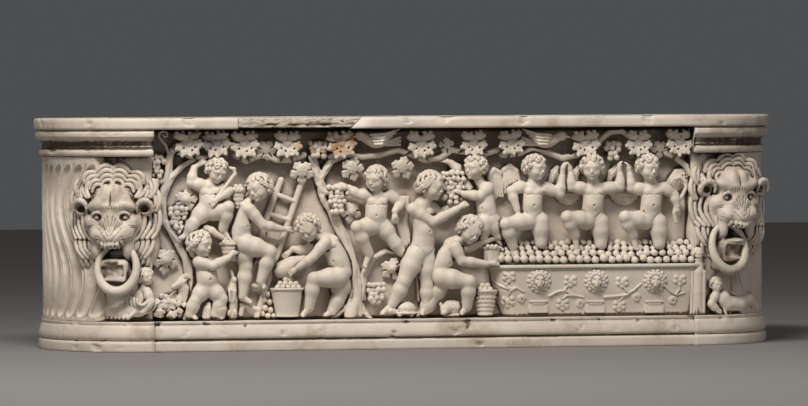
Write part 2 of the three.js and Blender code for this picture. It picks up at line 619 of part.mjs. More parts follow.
// Plain carvings, each a set of tapering bars
const CARVING_PIXELS = {
  storage_jar: [[[220, 311, 0.5, 6.5], [220, 303, 0.5, 5]], [[207, 312, 0.4, 5], [208, 306, 0.4, 4.5]]],
  upright_hare: [[[232, 311, 0.4, 5.5], [232, 296, 0.4, 5.5], [234, 283, 0.4, 5], [231, 273, 0.35, 3]]],
  tortoise: [[[411, 308, 0.5, 6], [401, 308, 0.55, 7]], [[401, 310, 0.55, 4], [392, 312, 0.6, 3.5]]],
  sleeping_animal: [[[437, 309, 0.4, 6], [448, 305, 0.4, 8], [459, 309, 0.4, 6]]],
  goat_on_rocks: [[[180, 284, 0.3, 6.5], [176, 297, 0.2, 8], [166, 306, 0.15, 10], [158, 310, 0.12, 9]]],
  post_figure: [[[698, 252, 0.62, 6], [698, 270, 0.62, 7], [697, 292, 0.62, 7], [697, 308, 0.62, 7.5]]],
  cloak: [
    [
      [404, 200, 0.15, 5], [402, 222, 0.15, 6], [407, 245, 0.15, 6],
      [422, 268, 0.12, 5], [423, 298, 0.12, 5],
    ],
  ],
  bird_left: [[[358, 135, 0.6, 4], [371, 139, 0.5, 6.5], [384, 143, 0.4, 6], [399, 142, 0.3, 3.5]]],
  bird_right: [[[529, 131, 0.3, 3.5], [538, 141, 0.4, 6], [550, 143, 0.5, 7], [562, 136, 0.6, 4.5]]],
  centre_vine: [
    [
      [352, 314, 0.2, 13], [355, 280, 0.25, 6.5], [350, 255, 0.2, 6],
      [338, 225, 0.15, 5.5], [325, 200, 0.15, 5],
    ],
    [[325, 200, 0.15, 5], [318, 180, 0.15, 5], [312, 157, 0.15, 4.5]],
    [[318, 178, 0.15, 4.5], [331, 159, 0.15, 4], [345, 156, 0.15, 4]],
    [[362, 296, 0.2, 5], [363, 275, 0.2, 4], [372, 258, 0.2, 4], [385, 250, 0.2, 4], [398, 252, 0.2, 4]],
  ],
  left_vine: [
    [
      [186, 312, 0.12, 6], [185, 300, 0.15, 4], [180, 272, 0.15, 4],
      [176, 248, 0.15, 4], [164, 222, 0.15, 4],
    ],
    [
      [164, 222, 0.15, 4], [162, 200, 0.15, 4], [168, 172, 0.15, 4],
      [165, 148, 0.2, 3.5], [164, 137, 0.25, 3],
    ],
    [[165, 192, 0.15, 3.5], [171, 178, 0.15, 3.5], [181, 167, 0.2, 3.5], [193, 160, 0.2, 3.5]],
  ],
};
const LADDER_PIXELS = {
  rails: [
    [[307, 171, 0.2, 3], [300, 187, 0.2, 3], [285, 232, 0.2, 3], [270, 275, 0.2, 3], [257, 314, 0.3, 3]],
    [[281, 180, 0.15, 3], [268, 214, 0.15, 3], [254, 262, 0.15, 3], [240, 312, 0.25, 3]],
  ],
  rungs: [
    [[278, 194, 0.15, 2.5], [294, 201, 0.2, 2.5]],
    [[270, 214, 0.15, 2.5], [288, 220, 0.2, 2.5]],
    [[261, 237, 0.15, 2.5], [281, 243, 0.2, 2.5]],
    [[254, 260, 0.15, 2.5], [274, 264, 0.2, 2.5]],
    [[247, 284, 0.2, 2.5], [266, 288, 0.25, 2.5]],
    [[242, 304, 0.25, 2.5], [259, 309, 0.3, 2.5]],
  ],
};

// Baskets: the middle, the foot and the top in the drawing, the share of the depth, and both half widths
const BASKET_PIXELS = {
  back_basket: [238, 208, 192, 0.55, 4, 8],
  shoulder_basket: [230, 260, 245, 0.45, 6, 9],
  large_basket: [288, 316, 289, 0.45, 11.5, 17],
  hand_basket: [503, 260, 248, 0.6, 5, 7],
  wicker_basket: [486, 314, 291, 0.45, 6, 11],
};

// Bunches of grapes: the middle of the top row, the drop, the half width, and the share of the depth
const BUNCH_PIXELS = {
  grape_bunch_lion: [156, 158, 28, 6, 0.2],
  grape_bunch_left_vine: [179, 208, 27, 8, 0.2],
  grape_bunch_ladder: [318, 143, 15, 9, 0.35],
  ring_basket: [337, 186, 28, 9, 0.45],
  grape_bunch_centre_vine: [376, 285, 20, 8, 0.35],
  grape_bunch_youth: [453, 172, 32, 10, 0.45],
  grape_bunch_right: [613, 143, 16, 6, 0.3],
};
const GRAPE_ROW_SHARE = 1.7; // from row to row of a bunch, of a grape's radius
const GRAPE_PITCH_SHARE = 1.5; // from grape to grape in a row
const GRAPE_PROUD_SHARE = 0.1; // how far the grapes stand before their bunch's core, of the relief's depth
const BUNCH_CORE_SHARES = [0.6, 0.4]; // the core's radius at its top and tail, of its half width
const BUNCH_TAPER_SHARE = 0.6;
const BUNCH_LEAST_ROWS = 2;
const BASKET_FRUIT_SHARES = [-0.5, 0, 0.5]; // across the top, of its half width
const LEAF_TIPS = 5;
const LEAF_NOTCH_SHARE = 0.62;

// The garland below the rim, in three lengths: its stem, and the middle and half width of each leaf
const GARLAND_PIXELS = {
  garland_left: {
    stem: [
      [172, 148, 0.38, 3.5], [205, 150, 0.38, 3.5], [232, 152, 0.38, 3.5],
      [262, 157, 0.38, 3.5], [296, 158, 0.38, 3.5],
    ],
    leaves: [
      [188, 144, 0.5, 13], [216, 144, 0.55, 13], [244, 144, 0.55, 13],
      [287, 145, 0.55, 13], [302, 172, 0.4, 9],
    ],
  },
  garland_centre: {
    stem: [
      [340, 151, 0.38, 3.5], [375, 152, 0.38, 3.5], [412, 151, 0.38, 3.5],
      [455, 150, 0.38, 3.5], [490, 148, 0.38, 3.5],
    ],
    leaves: [
      [341, 145, 0.55, 13], [421, 144, 0.55, 13], [473, 143, 0.55, 13],
      [352, 169, 0.4, 9], [402, 168, 0.4, 9],
    ],
  },
  garland_right: {
    stem: [
      [511, 149, 0.38, 3.5], [545, 151, 0.38, 3.5], [585, 152, 0.38, 3.5],
      [630, 150, 0.38, 3.5], [682, 153, 0.38, 3.5],
    ],
    leaves: [[511, 142, 0.5, 12], [585, 142, 0.5, 13], [638, 142, 0.5, 12], [679, 142, 0.5, 13]],
  },
};

// The treading vat: its left and right, height in the drawing and depth, from the foot up
const VAT_PIXELS = [
  [503, 699, 315, 0.5], [494, 703, 290, 0.7], [491, 704, 273, 0.78],
  [488, 706, 271, 0.9], [488, 706, 265, 0.9],
];
const VAT_MASK_PIXELS = [[539, 280, 0.78, 8], [596, 280, 0.78, 8], [655, 280, 0.78, 8]];
const HEAP_PIXELS = { bed: [[512, 259, 0.45, 9], [692, 257, 0.45, 9]], rows: [[250, 0.6]] };
const NECK_SHARE = 0.45; // a neck's radius, of its head's
const ROOT_SHARE = 0.7; // the radius of the stone behind a carving, of the carving's own
const BEHIND_SHARE = -0.5; // of the relief's depth, inside the wall

function radiusOf(point, grow) {
  return point[3] * PIXEL + grow;
}

function chain(points, grow, sides) {
  return tube(points.map(place), points.map((point) => radiusOf(point, grow)), sides);
}

// The stone that joins a carving to the wall behind it
function root([across, down, share, radius], grow) {
  const front = place([across, down, share]);
  const behind = new THREE.Vector3(front.x, PANEL_Y - BEHIND_SHARE * RELIEF_DEPTH, front.z);
  const thick = radius * ROOT_SHARE * PIXEL + grow;
  return tube([behind, front], [thick, thick], ROOT_SIDES);
}

function figure({ head, trunk, limbs }, grow) {
  const size = radiusOf(head, grow);
  const neck = [head[0], head[1], head[2], head[3] * NECK_SHARE];
  const body = chain([neck, ...trunk], grow, BODY_SIDES);
  const parts = [body, ball(place(head), [size, size, size])];
  for (const limb of limbs) parts.push(chain(limb, grow));
  parts.push(root(trunk[Math.floor(trunk.length / 2)], grow));
  return union(parts);
}

function carving(chains, grow) {
  return union([...chains.map((points) => chain(points, grow)), root(chains[0][1], grow)]);
}

function basket([across, foot, top, share, footHalf, topHalf], grow) {
  const low = place([across, foot, share]);
  const [bottom, rim] = [low.z - grow, place([across, top, share]).z + grow];
  const [lowRadius, highRadius] = [footHalf, topHalf].map((half) => half * PIXEL + grow);
  const profile = [[0, bottom], [lowRadius, bottom], [highRadius, rim], [0, rim]];
  const lathe = new THREE.LatheGeometry(profile.map(([r, z]) => new THREE.Vector2(r, z)), BASKET_SIDES);
  lathe.rotateX(RIGHT_ANGLE).translate(low.x, low.y, 0);
  const parts = [solid(lathe), root([across, foot, share, footHalf], grow)];
  for (const fruitShare of BASKET_FRUIT_SHARES) {
    const fruit = place([across + fruitShare * topHalf, top, share]);
    fruit.z += GRAPE_RADIUS / 2;
    const size = (topHalf * PIXEL) / 2 + grow;
    parts.push(lump(fruit, [size, size, size]));
  }
  return union(parts);
}

function grape(point, grow) {
  const size = GRAPE_RADIUS + grow;
  return lump(place(point), [size, size, size]);
}

function bunch([across, down, drop, half, share], grow) {
  const radius = GRAPE_RADIUS / PIXEL;
  const rows = Math.max(BUNCH_LEAST_ROWS, Math.round(drop / (radius * GRAPE_ROW_SHARE)));
  const [topRadius, tailRadius] = BUNCH_CORE_SHARES.map((coreShare) => coreShare * half);
  const core = [[across, down, share, topRadius], [across, down + drop, share, tailRadius]];
  const parts = [chain(core, grow), root([across, down + drop / 2, share, half], grow)];
  for (let row = 0; row < rows; row++) {
    const fall = row / (rows - 1);
    const width = half * (1 - BUNCH_TAPER_SHARE * fall);
    const count = Math.max(1, Math.round((2 * width) / (radius * GRAPE_PITCH_SHARE)));
    for (let i = 0; i < count; i++) {
      const offset = count > 1 ? (i / (count - 1) - 0.5) * 2 * (width - radius / 2) : 0;
      parts.push(grape([across + offset, down + fall * drop, share + GRAPE_PROUD_SHARE], grow));
    }
  }
  return union(parts);
}

function leaf(point, grow) {
  const [middle, radius] = [place(point), radiusOf(point, grow)];
  const shape = new THREE.Shape();
  for (let i = 0; i < LEAF_TIPS * 2; i++) {
    const turn = (i / LEAF_TIPS + 0.5) * Math.PI;
    const reach = i % 2 ? radius * LEAF_NOTCH_SHARE : radius;
    shape[i ? "lineTo" : "moveTo"](Math.cos(turn) * reach, Math.sin(turn) * reach);
  }
  const depth = LEAF_THICKNESS + 2 * grow;
  const plate = new THREE.ExtrudeGeometry(shape, { depth, bevelEnabled: false });
  plate.translate(0, 0, -depth / 2).rotateX(RIGHT_ANGLE);
  return solid(plate.translate(middle.x, middle.y, middle.z));
}

function garland({ stem, leaves }, grow) {
  const parts = [chain(stem, grow), root(stem[1], grow), root(stem[3], grow)];
  for (const point of leaves) {
    const [across, down, share, radius] = point;
    parts.push(leaf(point, grow), root([across, down, share, radius / 2], grow));
  }
  return union(parts);
}

function vat(grow) {
  const ring = ([left, right, down, share], i) => {
    const [start, end] = [place([left, down, share]), place([right, down, share])];
    const back = PANEL_Y + OVERRUN;
    const bend = start.y + VAT_CORNER / 2 - grow;
    let z = start.z;
    if (i === 0) z -= grow;
    if (i === VAT_PIXELS.length - 1) z += grow;
    return [
      [start.x - grow, back, z],
      [start.x - grow, bend, z],
      [start.x + VAT_CORNER, start.y - grow, z],
      [end.x - VAT_CORNER, end.y - grow, z],
      [end.x + grow, bend, z],
      [end.x + grow, back, z],
    ];
  };
  const masks = VAT_MASK_PIXELS.map((point) => {
    const size = radiusOf(point, grow);
    return ball(place(point), [size, size / 2, size]);
  });
  return union([stack(VAT_PIXELS.map(ring)), ...masks]);
}

function grapeHeap(grow) {
  const { bed, rows } = HEAP_PIXELS;
  const parts = [chain(bed, grow), root(bed[1], grow)];
  for (const [down, share] of rows) {
    for (let across = bed[0][0]; across <= bed[1][0]; across += HEAP_PITCH / PIXEL) {
      parts.push(grape([across, down, share], grow));
    }
  }
  return union(parts);
}

// Neighbours in front are carved first, and each later carving is cut back from them
const wall = stack([0, HEIGHT + OVERRUN].map((z) => {
  return plan(z, WALL_INSET - GAP, WALL_INSET - GAP, 0, PANEL_INSET - GAP);
}));
const [ahead, aside] = [-FRONT_REACH - OVERRUN, LENGTH];
const overhead = block([-aside, ahead, FRIEZE_TOP - GAP], [aside, BACK_REACH, HEIGHT + OVERRUN]);
const underfoot = block([-aside, ahead, -OVERRUN], [aside, BACK_REACH, BASE_HEIGHT + GAP]);
let taken = union([wall, overhead, underfoot]);

function carve(name, shape) {
  addPiece(name, shape(0).subtract(taken));
  taken = taken.add(shape(GAP));
}

addTrough();
addRim();
for (const [side, word, drop] of [[-1, "left", LION_LEFT_DROP], [1, "right", LION_RIGHT_DROP]]) {
  const level = FRIEZE_TOP - drop;
  addCornice(side, `cornice_${word}`);
  taken = taken.add(corniceSpace(side));
  carve(`lion_head_${word}`, (grow) => lionHead(side, level, grow));
  carve(`lion_ring_${word}`, (grow) => lionRing(side, level, grow));
  carve(`fluted_end_${word}`, () => flutes(side));
}
for (const [name, pixels] of Object.entries(FIGURE_PIXELS)) carve(name, (grow) => figure(pixels, grow));
carve("treading_vat", vat);
for (const [name, pixels] of Object.entries(BASKET_PIXELS)) carve(name, (grow) => basket(pixels, grow));
carve("vat_grapes", grapeHeap);
for (const [name, pixels] of Object.entries(BUNCH_PIXELS)) carve(name, (grow) => bunch(pixels, grow));
for (const [name, pixels] of Object.entries(GARLAND_PIXELS)) carve(name, (grow) => garland(pixels, grow));
for (const [name, chains] of Object.entries(CARVING_PIXELS)) carve(name, (grow) => carving(chains, grow));
carve("ladder", (grow) => {
  const { rails, rungs } = LADDER_PIXELS;
  return carving([...rails, ...rungs], grow);
});

export default sarcophagus;
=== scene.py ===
"""A tub-shaped marble sarcophagus, seen from a little left of its front. The relief and the lions are
modelled as distances on a grid and skinned as closed meshes, and the rest is made of rings along the
trough's plan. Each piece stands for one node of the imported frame. Metres, +Z up, front towards -Y."""
import math

import bpy
import numpy as np
from mathutils import Matrix, Vector


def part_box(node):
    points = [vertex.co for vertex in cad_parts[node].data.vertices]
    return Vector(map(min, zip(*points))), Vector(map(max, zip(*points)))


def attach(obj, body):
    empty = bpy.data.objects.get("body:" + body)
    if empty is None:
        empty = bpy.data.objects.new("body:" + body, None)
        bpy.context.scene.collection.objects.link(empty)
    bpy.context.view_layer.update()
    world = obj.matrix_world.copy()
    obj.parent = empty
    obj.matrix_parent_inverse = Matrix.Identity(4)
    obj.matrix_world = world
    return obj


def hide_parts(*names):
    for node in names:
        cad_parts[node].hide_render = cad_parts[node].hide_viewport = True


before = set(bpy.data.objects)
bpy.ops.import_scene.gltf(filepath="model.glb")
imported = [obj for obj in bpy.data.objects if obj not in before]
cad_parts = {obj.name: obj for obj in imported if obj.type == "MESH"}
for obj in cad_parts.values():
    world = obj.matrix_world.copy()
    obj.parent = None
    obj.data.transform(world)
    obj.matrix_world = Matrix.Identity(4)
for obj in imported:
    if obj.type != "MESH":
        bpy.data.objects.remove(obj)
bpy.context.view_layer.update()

# Sizes that follow the frame
RIM_LOW, RIM_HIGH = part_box("rim_band")
CORNICE_LOW, CORNICE_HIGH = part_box("cornice_right")
HALF_LENGTH = RIM_HIGH.x
FRONT_REACH = -RIM_LOW.y
BACK_REACH = RIM_HIGH.y
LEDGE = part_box("base_plinth")[1].z
RIM_FOOT = RIM_LOW.z
TOP = RIM_HIGH.z
CORNICE_FOOT = CORNICE_LOW.z
STRAIGHT = CORNICE_LOW.x  # half the straight run of the front
END_REACH = HALF_LENGTH - STRAIGHT
FLUTES_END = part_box("fluted_end_right")[1].y
PANEL_Y = -0.235
RELIEF_DEPTH = 0.066
WALL_INSET = 0.05
PANEL_INSET = 0.085
CHAMBER_INSETS = (0.15, 0.105, 0.075)  # at the front, the ends and the back
CHAMBER_FLOOR = 0.107
CHAMBER_ROUND = 0.012  # of the edge between the chamber's walls and floor
EMBED = 0.004  # how far a carving reaches into the wall behind it
SEAM = 0.0003  # between pieces that meet

# The photograph's viewpoint, and its frame in pixels
WIDTH_PIXELS = 808
MIDDLE_PIXELS = (404, 203)
SPREAD = math.radians(8.0985)  # over the frame's width
TURN, PITCH, ROLL = (math.radians(value) for value in (10.2, -1.125, -0.3))
DISTANCE = 14.0
EYE = np.array([-DISTANCE * math.sin(TURN), -DISTANCE * math.cos(TURN), 0.62])
FOCUS_PIXELS = WIDTH_PIXELS / 2 / math.tan(SPREAD / 2)
PIXEL = DISTANCE / FOCUS_PIXELS
AHEAD = np.array([math.sin(TURN) * math.cos(PITCH), math.cos(TURN) * math.cos(PITCH), math.sin(PITCH)])
LEVEL = np.array([math.cos(TURN), -math.sin(TURN), 0])
UPRIGHT = np.cross(LEVEL, AHEAD)
RIGHT = LEVEL * math.cos(ROLL) + UPRIGHT * math.sin(ROLL)
UP = UPRIGHT * math.cos(ROLL) - LEVEL * math.sin(ROLL)

# The grid
CELL = 0.0017
FIGURE_CELL = 0.0013
LION_CELL = 0.0014
KEEP_SHARE = 0.5  # of the faces of a skinned piece
FAR = 0.05  # the distance that empty clay starts with
SIDES = (-1, 1)


def unit(vector):
    return np.asarray(vector, float) / np.linalg.norm(vector)


def turned(yaw, pitch=0.0, roll=0.0):
    """Columns: a thing's side, its outward way and its up. Yaw turns it to the viewer's right, in degrees,
    pitch bows it, and roll leans its top to the right."""
    y, p, r = (math.radians(value) for value in (yaw, pitch, roll))
    side, out, up = np.array([1.0, 0, 0]), np.array([0, -1.0, 0]), np.array([0, 0, 1.0])
    side, up = side * math.cos(r) - up * math.sin(r), up * math.cos(r) + side * math.sin(r)
    out, up = out * math.cos(p) - up * math.sin(p), up * math.cos(p) + out * math.sin(p)
    spin = np.array([[math.cos(y), -math.sin(y), 0], [math.sin(y), math.cos(y), 0], [0, 0, 1.0]])
    return np.stack([spin @ side, spin @ out, spin @ up], axis=1)


def at(point):
    """Where the sight through a pixel, across and down, meets the plane at a share of the relief's depth."""
    across, down, share = point[:3]
    sight = AHEAD * FOCUS_PIXELS + RIGHT * (across - MIDDLE_PIXELS[0]) + UP * (MIDDLE_PIXELS[1] - down)
    y = PANEL_Y - share * RELIEF_DEPTH
    return EYE + sight * ((y - EYE[1]) / sight[1])


def px(value):
    return np.multiply(value, PIXEL)


# Shapes: each is its lowest and highest corner and a function that gives the distance to it
def bar(a, b, start, end):
    """A round bar that may taper, with round ends."""
    a, b = np.asarray(a, float), np.asarray(b, float)
    along = b - a
    length = max(float(along @ along), 1e-12)

    def distance(x, y, z):
        share = ((x - a[0]) * along[0] + (y - a[1]) * along[1] + (z - a[2]) * along[2]) / length
        share = np.clip(share, 0, 1)
        dx, dy, dz = x - a[0] - share * along[0], y - a[1] - share * along[1], z - a[2] - share * along[2]
        return np.sqrt(dx * dx + dy * dy + dz * dz) - (start + share * (end - start))

    return np.minimum(a - start, b - end), np.maximum(a + start, b + end), distance


def local_places(middle, axes):
    """A function that gives how far a place lies from the middle along each of three axes."""

    def places(x, y, z):
        dx, dy, dz = x - middle[0], y - middle[1], z - middle[2]
        return [dx * axes[0, i] + dy * axes[1, i] + dz * axes[2, i] for i in range(3)]

    return places


def egg(middle, radii, axes=None):
    middle = np.asarray(middle, float)
    radii = np.broadcast_to(np.asarray(radii, float), 3)
    axes = np.eye(3) if axes is None else axes
    places = local_places(middle, axes)
    reach = np.sqrt(((axes * radii) ** 2).sum(1))

    def distance(x, y, z):
        near = far = 0.0
        for place, radius in zip(places(x, y, z), radii):
            local = place / radius
            near = near + local * local
            far = far + (local / radius) ** 2
        near = np.sqrt(near)
        return near * (near - 1) / np.sqrt(far + 1e-9)

    return middle - reach, middle + reach, distance


def slab(middle, halves, axes=None, edge=0.001):
    """A block with rounded edges."""
    middle = np.asarray(middle, float)
    axes = np.eye(3) if axes is None else axes
    places = local_places(middle, axes)
    reach = np.abs(axes * halves).sum(1)

    def distance(x, y, z):
        outside, deepest = 0.0, -1.0
        for place, half in zip(places(x, y, z), halves):
            over = np.abs(place) - (half - edge)
            outside = outside + np.maximum(over, 0) ** 2
            deepest = np.maximum(deepest, over)
        return np.sqrt(outside) + np.minimum(deepest, 0) - edge

    return middle - reach, middle + reach, distance


def hoop(middle, radii, thick, axes):
    """A ring in the plane of the axes' first and last columns."""
    middle = np.asarray(middle, float)
    places = local_places(middle, axes)
    reach = np.full(3, max(radii) + thick)

    def distance(x, y, z):
        side, out, up = places(x, y, z)
        turn = np.sqrt((side / radii[0]) ** 2 + (up / radii[1]) ** 2) + 1e-9
        flat = (turn - 1) * np.sqrt(side * side + up * up) / turn
        return np.sqrt(flat * flat + out * out) - thick

    return middle - reach, middle + reach, distance


def cone(foot, top, low_radius, high_radius, edge=0.0015):
    """An upright tapering drum."""
    foot, top = np.asarray(foot, float), np.asarray(top, float)
    wide = max(low_radius, high_radius)

    def distance(x, y, z):
        share = (z - foot[2]) / (top[2] - foot[2])
        cx, cy = foot[0] + share * (top[0] - foot[0]), foot[1] + share * (top[1] - foot[1])
        radius = low_radius + share * (high_radius - low_radius)
        around = np.sqrt((x - cx) ** 2 + (y - cy) ** 2) - radius + edge
        up = np.abs(z - (foot[2] + top[2]) / 2) - (top[2] - foot[2]) / 2 + edge
        outside = np.sqrt(np.maximum(around, 0) ** 2 + np.maximum(up, 0) ** 2)
        return outside + np.minimum(np.maximum(around, up), 0) - edge

    return np.minimum(foot, top) - [wide, wide, 0], np.maximum(foot, top) + [wide, wide, 0], distance


def blended(a, b, blend):
    """The nearer of two distances, with a soft fillet of the blend's size."""
    if blend <= 0:
        return np.minimum(a, b)
    near = np.maximum(blend - np.abs(a - b), 0) / blend
    return np.minimum(a, b) - near * near * blend / 4


class Clay:
    """A grid of distances that shapes are pressed on and cut away from, in metres."""

    def __init__(self, low, high, cell=CELL):
        self.cell = cell
        self.low = np.asarray(low, float) - 3 * cell
        self.field = np.full(np.ceil((np.asarray(high) - self.low) / cell).astype(int) + 4, FAR, np.float32)

    def window(self, shape, margin):
        """The part of the grid round a shape, and the distances there, or none outside the grid."""
        low, high, distance = shape
        first = np.clip(((low - margin - self.low) / self.cell).astype(int), 0, self.field.shape)
        last = np.clip(((high + margin - self.low) / self.cell).astype(int) + 2, 0, self.field.shape)
        part = tuple(slice(a, b) for a, b in zip(first, last))
        if min(last - first) < 1:
            return part, None
        x, y, z = (
            (self.low[i] + self.cell * np.arange(first[i], last[i])).astype(np.float32) for i in range(3)
        )
        return part, distance(x[:, None, None], y[None, :, None], z[None, None, :]).astype(np.float32)

    def press(self, shape, blend=0.0):
        part, near = self.window(shape, blend + 2 * self.cell)
        if near is not None:
            self.field[part] = blended(self.field[part], near, blend)

    def carve(self, shape, blend=0.0):
        part, near = self.window(shape, blend + 2 * self.cell)
        if near is not None:
            self.field[part] = -blended(-self.field[part], near, blend)

    def chain(self, points, radii, blend=0.0):
        """Bars from point to point, with one radius for all or one at each."""
        radii = np.broadcast_to(radii, len(points))
        for i in range(len(points) - 1):
            self.press(bar(points[i], points[i + 1], radii[i], radii[i + 1]), blend)

    def groove(self, points, radii, blend):
        """A cut from point to point, with a radius for the start of each stretch and one for its end."""
        start, end = np.broadcast_to(radii, 2)
        for a, b in zip(points, points[1:]):
            self.carve(bar(a, b, start, end), blend)

    def axis(self, i):
        shape = [1, 1, 1]
        shape[i] = -1
        return (self.low[i] + self.cell * np.arange(self.field.shape[i])).reshape(shape).astype(np.float32)

    def trim(self, behind=None, below=None, above=None):
        """Cuts away what lies past planes."""
        if behind is not None:
            self.field = np.maximum(self.field, self.axis(1) - behind)
        if below is not None:
            self.field = np.maximum(self.field, below - self.axis(2))
        if above is not None:
            self.field = np.maximum(self.field, self.axis(2) - above)

    def meet(self, start, way, reach):
        """The first point on a line that lies in the stone, or else the line's end."""
        spots = np.asarray(start) + np.arange(0, reach, self.cell * 0.4)[:, None] * way
        cells = np.round((spots - self.low) / self.cell).astype(int)
        cells = np.clip(cells, 0, np.array(self.field.shape) - 1)
        inside = self.field[tuple(cells.T)] < 0
        return spots[inside.argmax()] if inside.any() else spots[-1]

    def front(self):
        """How far forward the stone stands, by place across and up."""
        inside = self.field < 0
        first = inside.argmax(1)
        i, k = np.indices(first.shape)
        before, after = self.field[i, np.maximum(first - 1, 0), k], self.field[i, first, k]
        part = np.clip(before / np.where(before > after, before - after, 1), 0, 1)
        return np.where(inside.any(1), -(self.low[1] + self.cell * (first - 1 + part)), -0.03)

    def solid_points(self):
        return self.low + self.cell * (np.argwhere(self.field < 0))

    def skin(self):
        """The closed surface where the distance is zero: a point in each cell that it crosses."""
        field = self.field
        for axis in range(3):
            edge = [slice(None)] * 3
            for end in (0, -1):
                edge[axis] = end
                field[tuple(edge)] = np.maximum(field[tuple(edge)], self.cell)
        inside = field < 0
        corners = [(i, j, k) for i in (0, 1) for j in (0, 1) for k in (0, 1)]
        count = np.array(field.shape) - 1
        sums = np.zeros(count, np.uint8)
        for i, j, k in corners:
            sums += inside[i : i + count[0], j : j + count[1], k : k + count[2]]
        crossed = (sums > 0) & (sums < 8)
        cells = np.argwhere(crossed)
        number = np.full(count, -1, np.int32)
        number[crossed] = np.arange(len(cells), dtype=np.int32)
        u, v, w = cells.T
        values = np.stack([field[u + i, v + j, w + k] for i, j, k in corners], 1)
        total = np.zeros((len(cells), 3))
        hits = np.zeros(len(cells))
        for a in range(8):
            for axis in range(3):
                step = 4 >> axis
                if a & step:
                    continue
                start, end = values[:, a], values[:, a | step]
                hit = (start < 0) != (end < 0)
                share = np.where(hit, start / np.where(hit, start - end, 1), 0)
                spot = np.tile(np.array(corners[a], float), (len(cells), 1))
                spot[:, axis] = share
                total += spot * hit[:, None]
                hits += hit
        points = self.low + self.cell * (cells + total / hits[:, None])
        return points, np.concatenate([self.crossings(inside, number, axis) for axis in range(3)])

    @staticmethod
    def crossings(inside, number, axis):
        """The four-sided faces that the surface has across the grid's edges along one axis."""
        ahead = [slice(1, -1)] * 3
        behind = [slice(1, -1)] * 3
        behind[axis], ahead[axis] = slice(0, -1), slice(1, None)
        change = inside[tuple(behind)] != inside[tuple(ahead)]
        outward = inside[tuple(behind)][change]
        first = np.argwhere(change)
        u, v = (axis + 1) % 3, (axis + 2) % 3
        first[:, [u, v]] += 1
        around = []
        for du, dv in ((1, 1), (0, 1), (0, 0), (1, 0)):
            cell = first.copy()
            cell[:, u] -= du
            cell[:, v] -= dv
            around.append(number[cell[:, 0], cell[:, 1], cell[:, 2]])
        around = np.stack(around, 1)
        around[~outward] = around[~outward][:, ::-1]
        return around


def mesh_object(name, points, quads, triangles=np.zeros((0, 3), int)):
    mesh = bpy.data.meshes.new(name)
    mesh.vertices.add(len(points))
    mesh.vertices.foreach_set("co", np.asarray(points, np.float32).ravel())
    corners = np.concatenate([quads.ravel(), triangles.ravel()]).astype(np.int32)
    mesh.loops.add(len(corners))
    mesh.loops.foreach_set("vertex_index", corners)
    mesh.polygons.add(len(quads) + len(triangles))
    starts = np.concatenate([np.arange(0, quads.size, 4), np.arange(quads.size, len(corners), 3)])
    mesh.polygons.foreach_set("loop_start", starts.astype(np.int32))
    mesh.update(calc_edges=True)
    mesh.validate()
    piece = bpy.data.objects.new(name, mesh)
    bpy.context.scene.collection.objects.link(piece)
    return piece


def thinned(piece):
    """Leaves out a share of a dense mesh's faces."""
    thin = piece.modifiers.new("thin", "DECIMATE")
    thin.ratio = KEEP_SHARE
    bpy.context.view_layer.update()
    graph = bpy.context.evaluated_depsgraph_get()
    mesh = bpy.data.meshes.new_from_object(piece.evaluated_get(graph))
    piece.modifiers.clear()
    piece.data = mesh
    return piece


# Marble
def node(tree, kind, **settings):
    made = tree.nodes.new(kind)
    for key, value in settings.items():
        setattr(made, key, value)
    return made


def feed(tree, sockets, values):
    """Links what comes from another node, and sets what is a number or a colour."""
    for socket, value in zip(sockets, values):
        if isinstance(value, bpy.types.NodeSocket):
            tree.links.new(value, socket)
        elif isinstance(value, tuple) and len(value) == 3 and socket.type == "RGBA":
            socket.default_value = (*value, 1)
        else:
            socket.default_value = value


def ramp(tree, source, low, high):
    made = node(tree, "ShaderNodeMapRange", interpolation_type="SMOOTHSTEP")
    feed(tree, [made.inputs[name] for name in ("Value", "From Min", "From Max")], (source, low, high))
    return made.outputs["Result"]


def mixed(tree, share, first, second):
    made = node(tree, "ShaderNodeMix", data_type="RGBA")
    feed(tree, (made.inputs[0], made.inputs[6], made.inputs[7]), (share, first, second))
    return made.outputs[2]


def product(tree, first, second, operation="MULTIPLY"):
    made = node(tree, "ShaderNodeMath", operation=operation, use_clamp=True)
    feed(tree, made.inputs[:2], (first, second))
    return made.outputs[0]


def cloud(tree, where, scale, detail, rough_share=0.6):
    made = node(tree, "ShaderNodeTexNoise")
    names = ("Vector", "Scale", "Detail", "Roughness")
    feed(tree, [made.inputs[name] for name in names], (where, scale, detail, rough_share))
    return made.outputs["Fac"]


def nearness(tree, where, middle, reach):
    """One near the middle of an egg-shaped space, and none outside it."""
    for operation, value in (("SUBTRACT", middle), ("DIVIDE", reach), ("LENGTH", None)):
        made = node(tree, "ShaderNodeVectorMath", operation=operation)
        feed(tree, made.inputs[: 1 if value is None else 2], (where, value))
        where = made.outputs[0]
    return ramp(tree, made.outputs["Value"], 1.0, 0.35)


# WARM, COOL and BROWN are the stone's own tints and stains; the last is the dark brown of dirt and of painted
# shade in hollows and grooves.
WARM, COOL, BROWN, DIRT_AND_SHADE_COLOUR = (0.60, 0.52, 0.43), (0.56, 0.54, 0.55), (0.36, 0.26, 0.17), (0.085, 0.058, 0.036)
BUMP_HEIGHT = 0.0012


def new_material(name, rough):
    material = bpy.data.materials.new(name)
    material.use_nodes = True
    shader = material.node_tree.nodes["Principled BSDF"]
    shader.inputs["Roughness"].default_value = rough
    return material, material.node_tree, shader


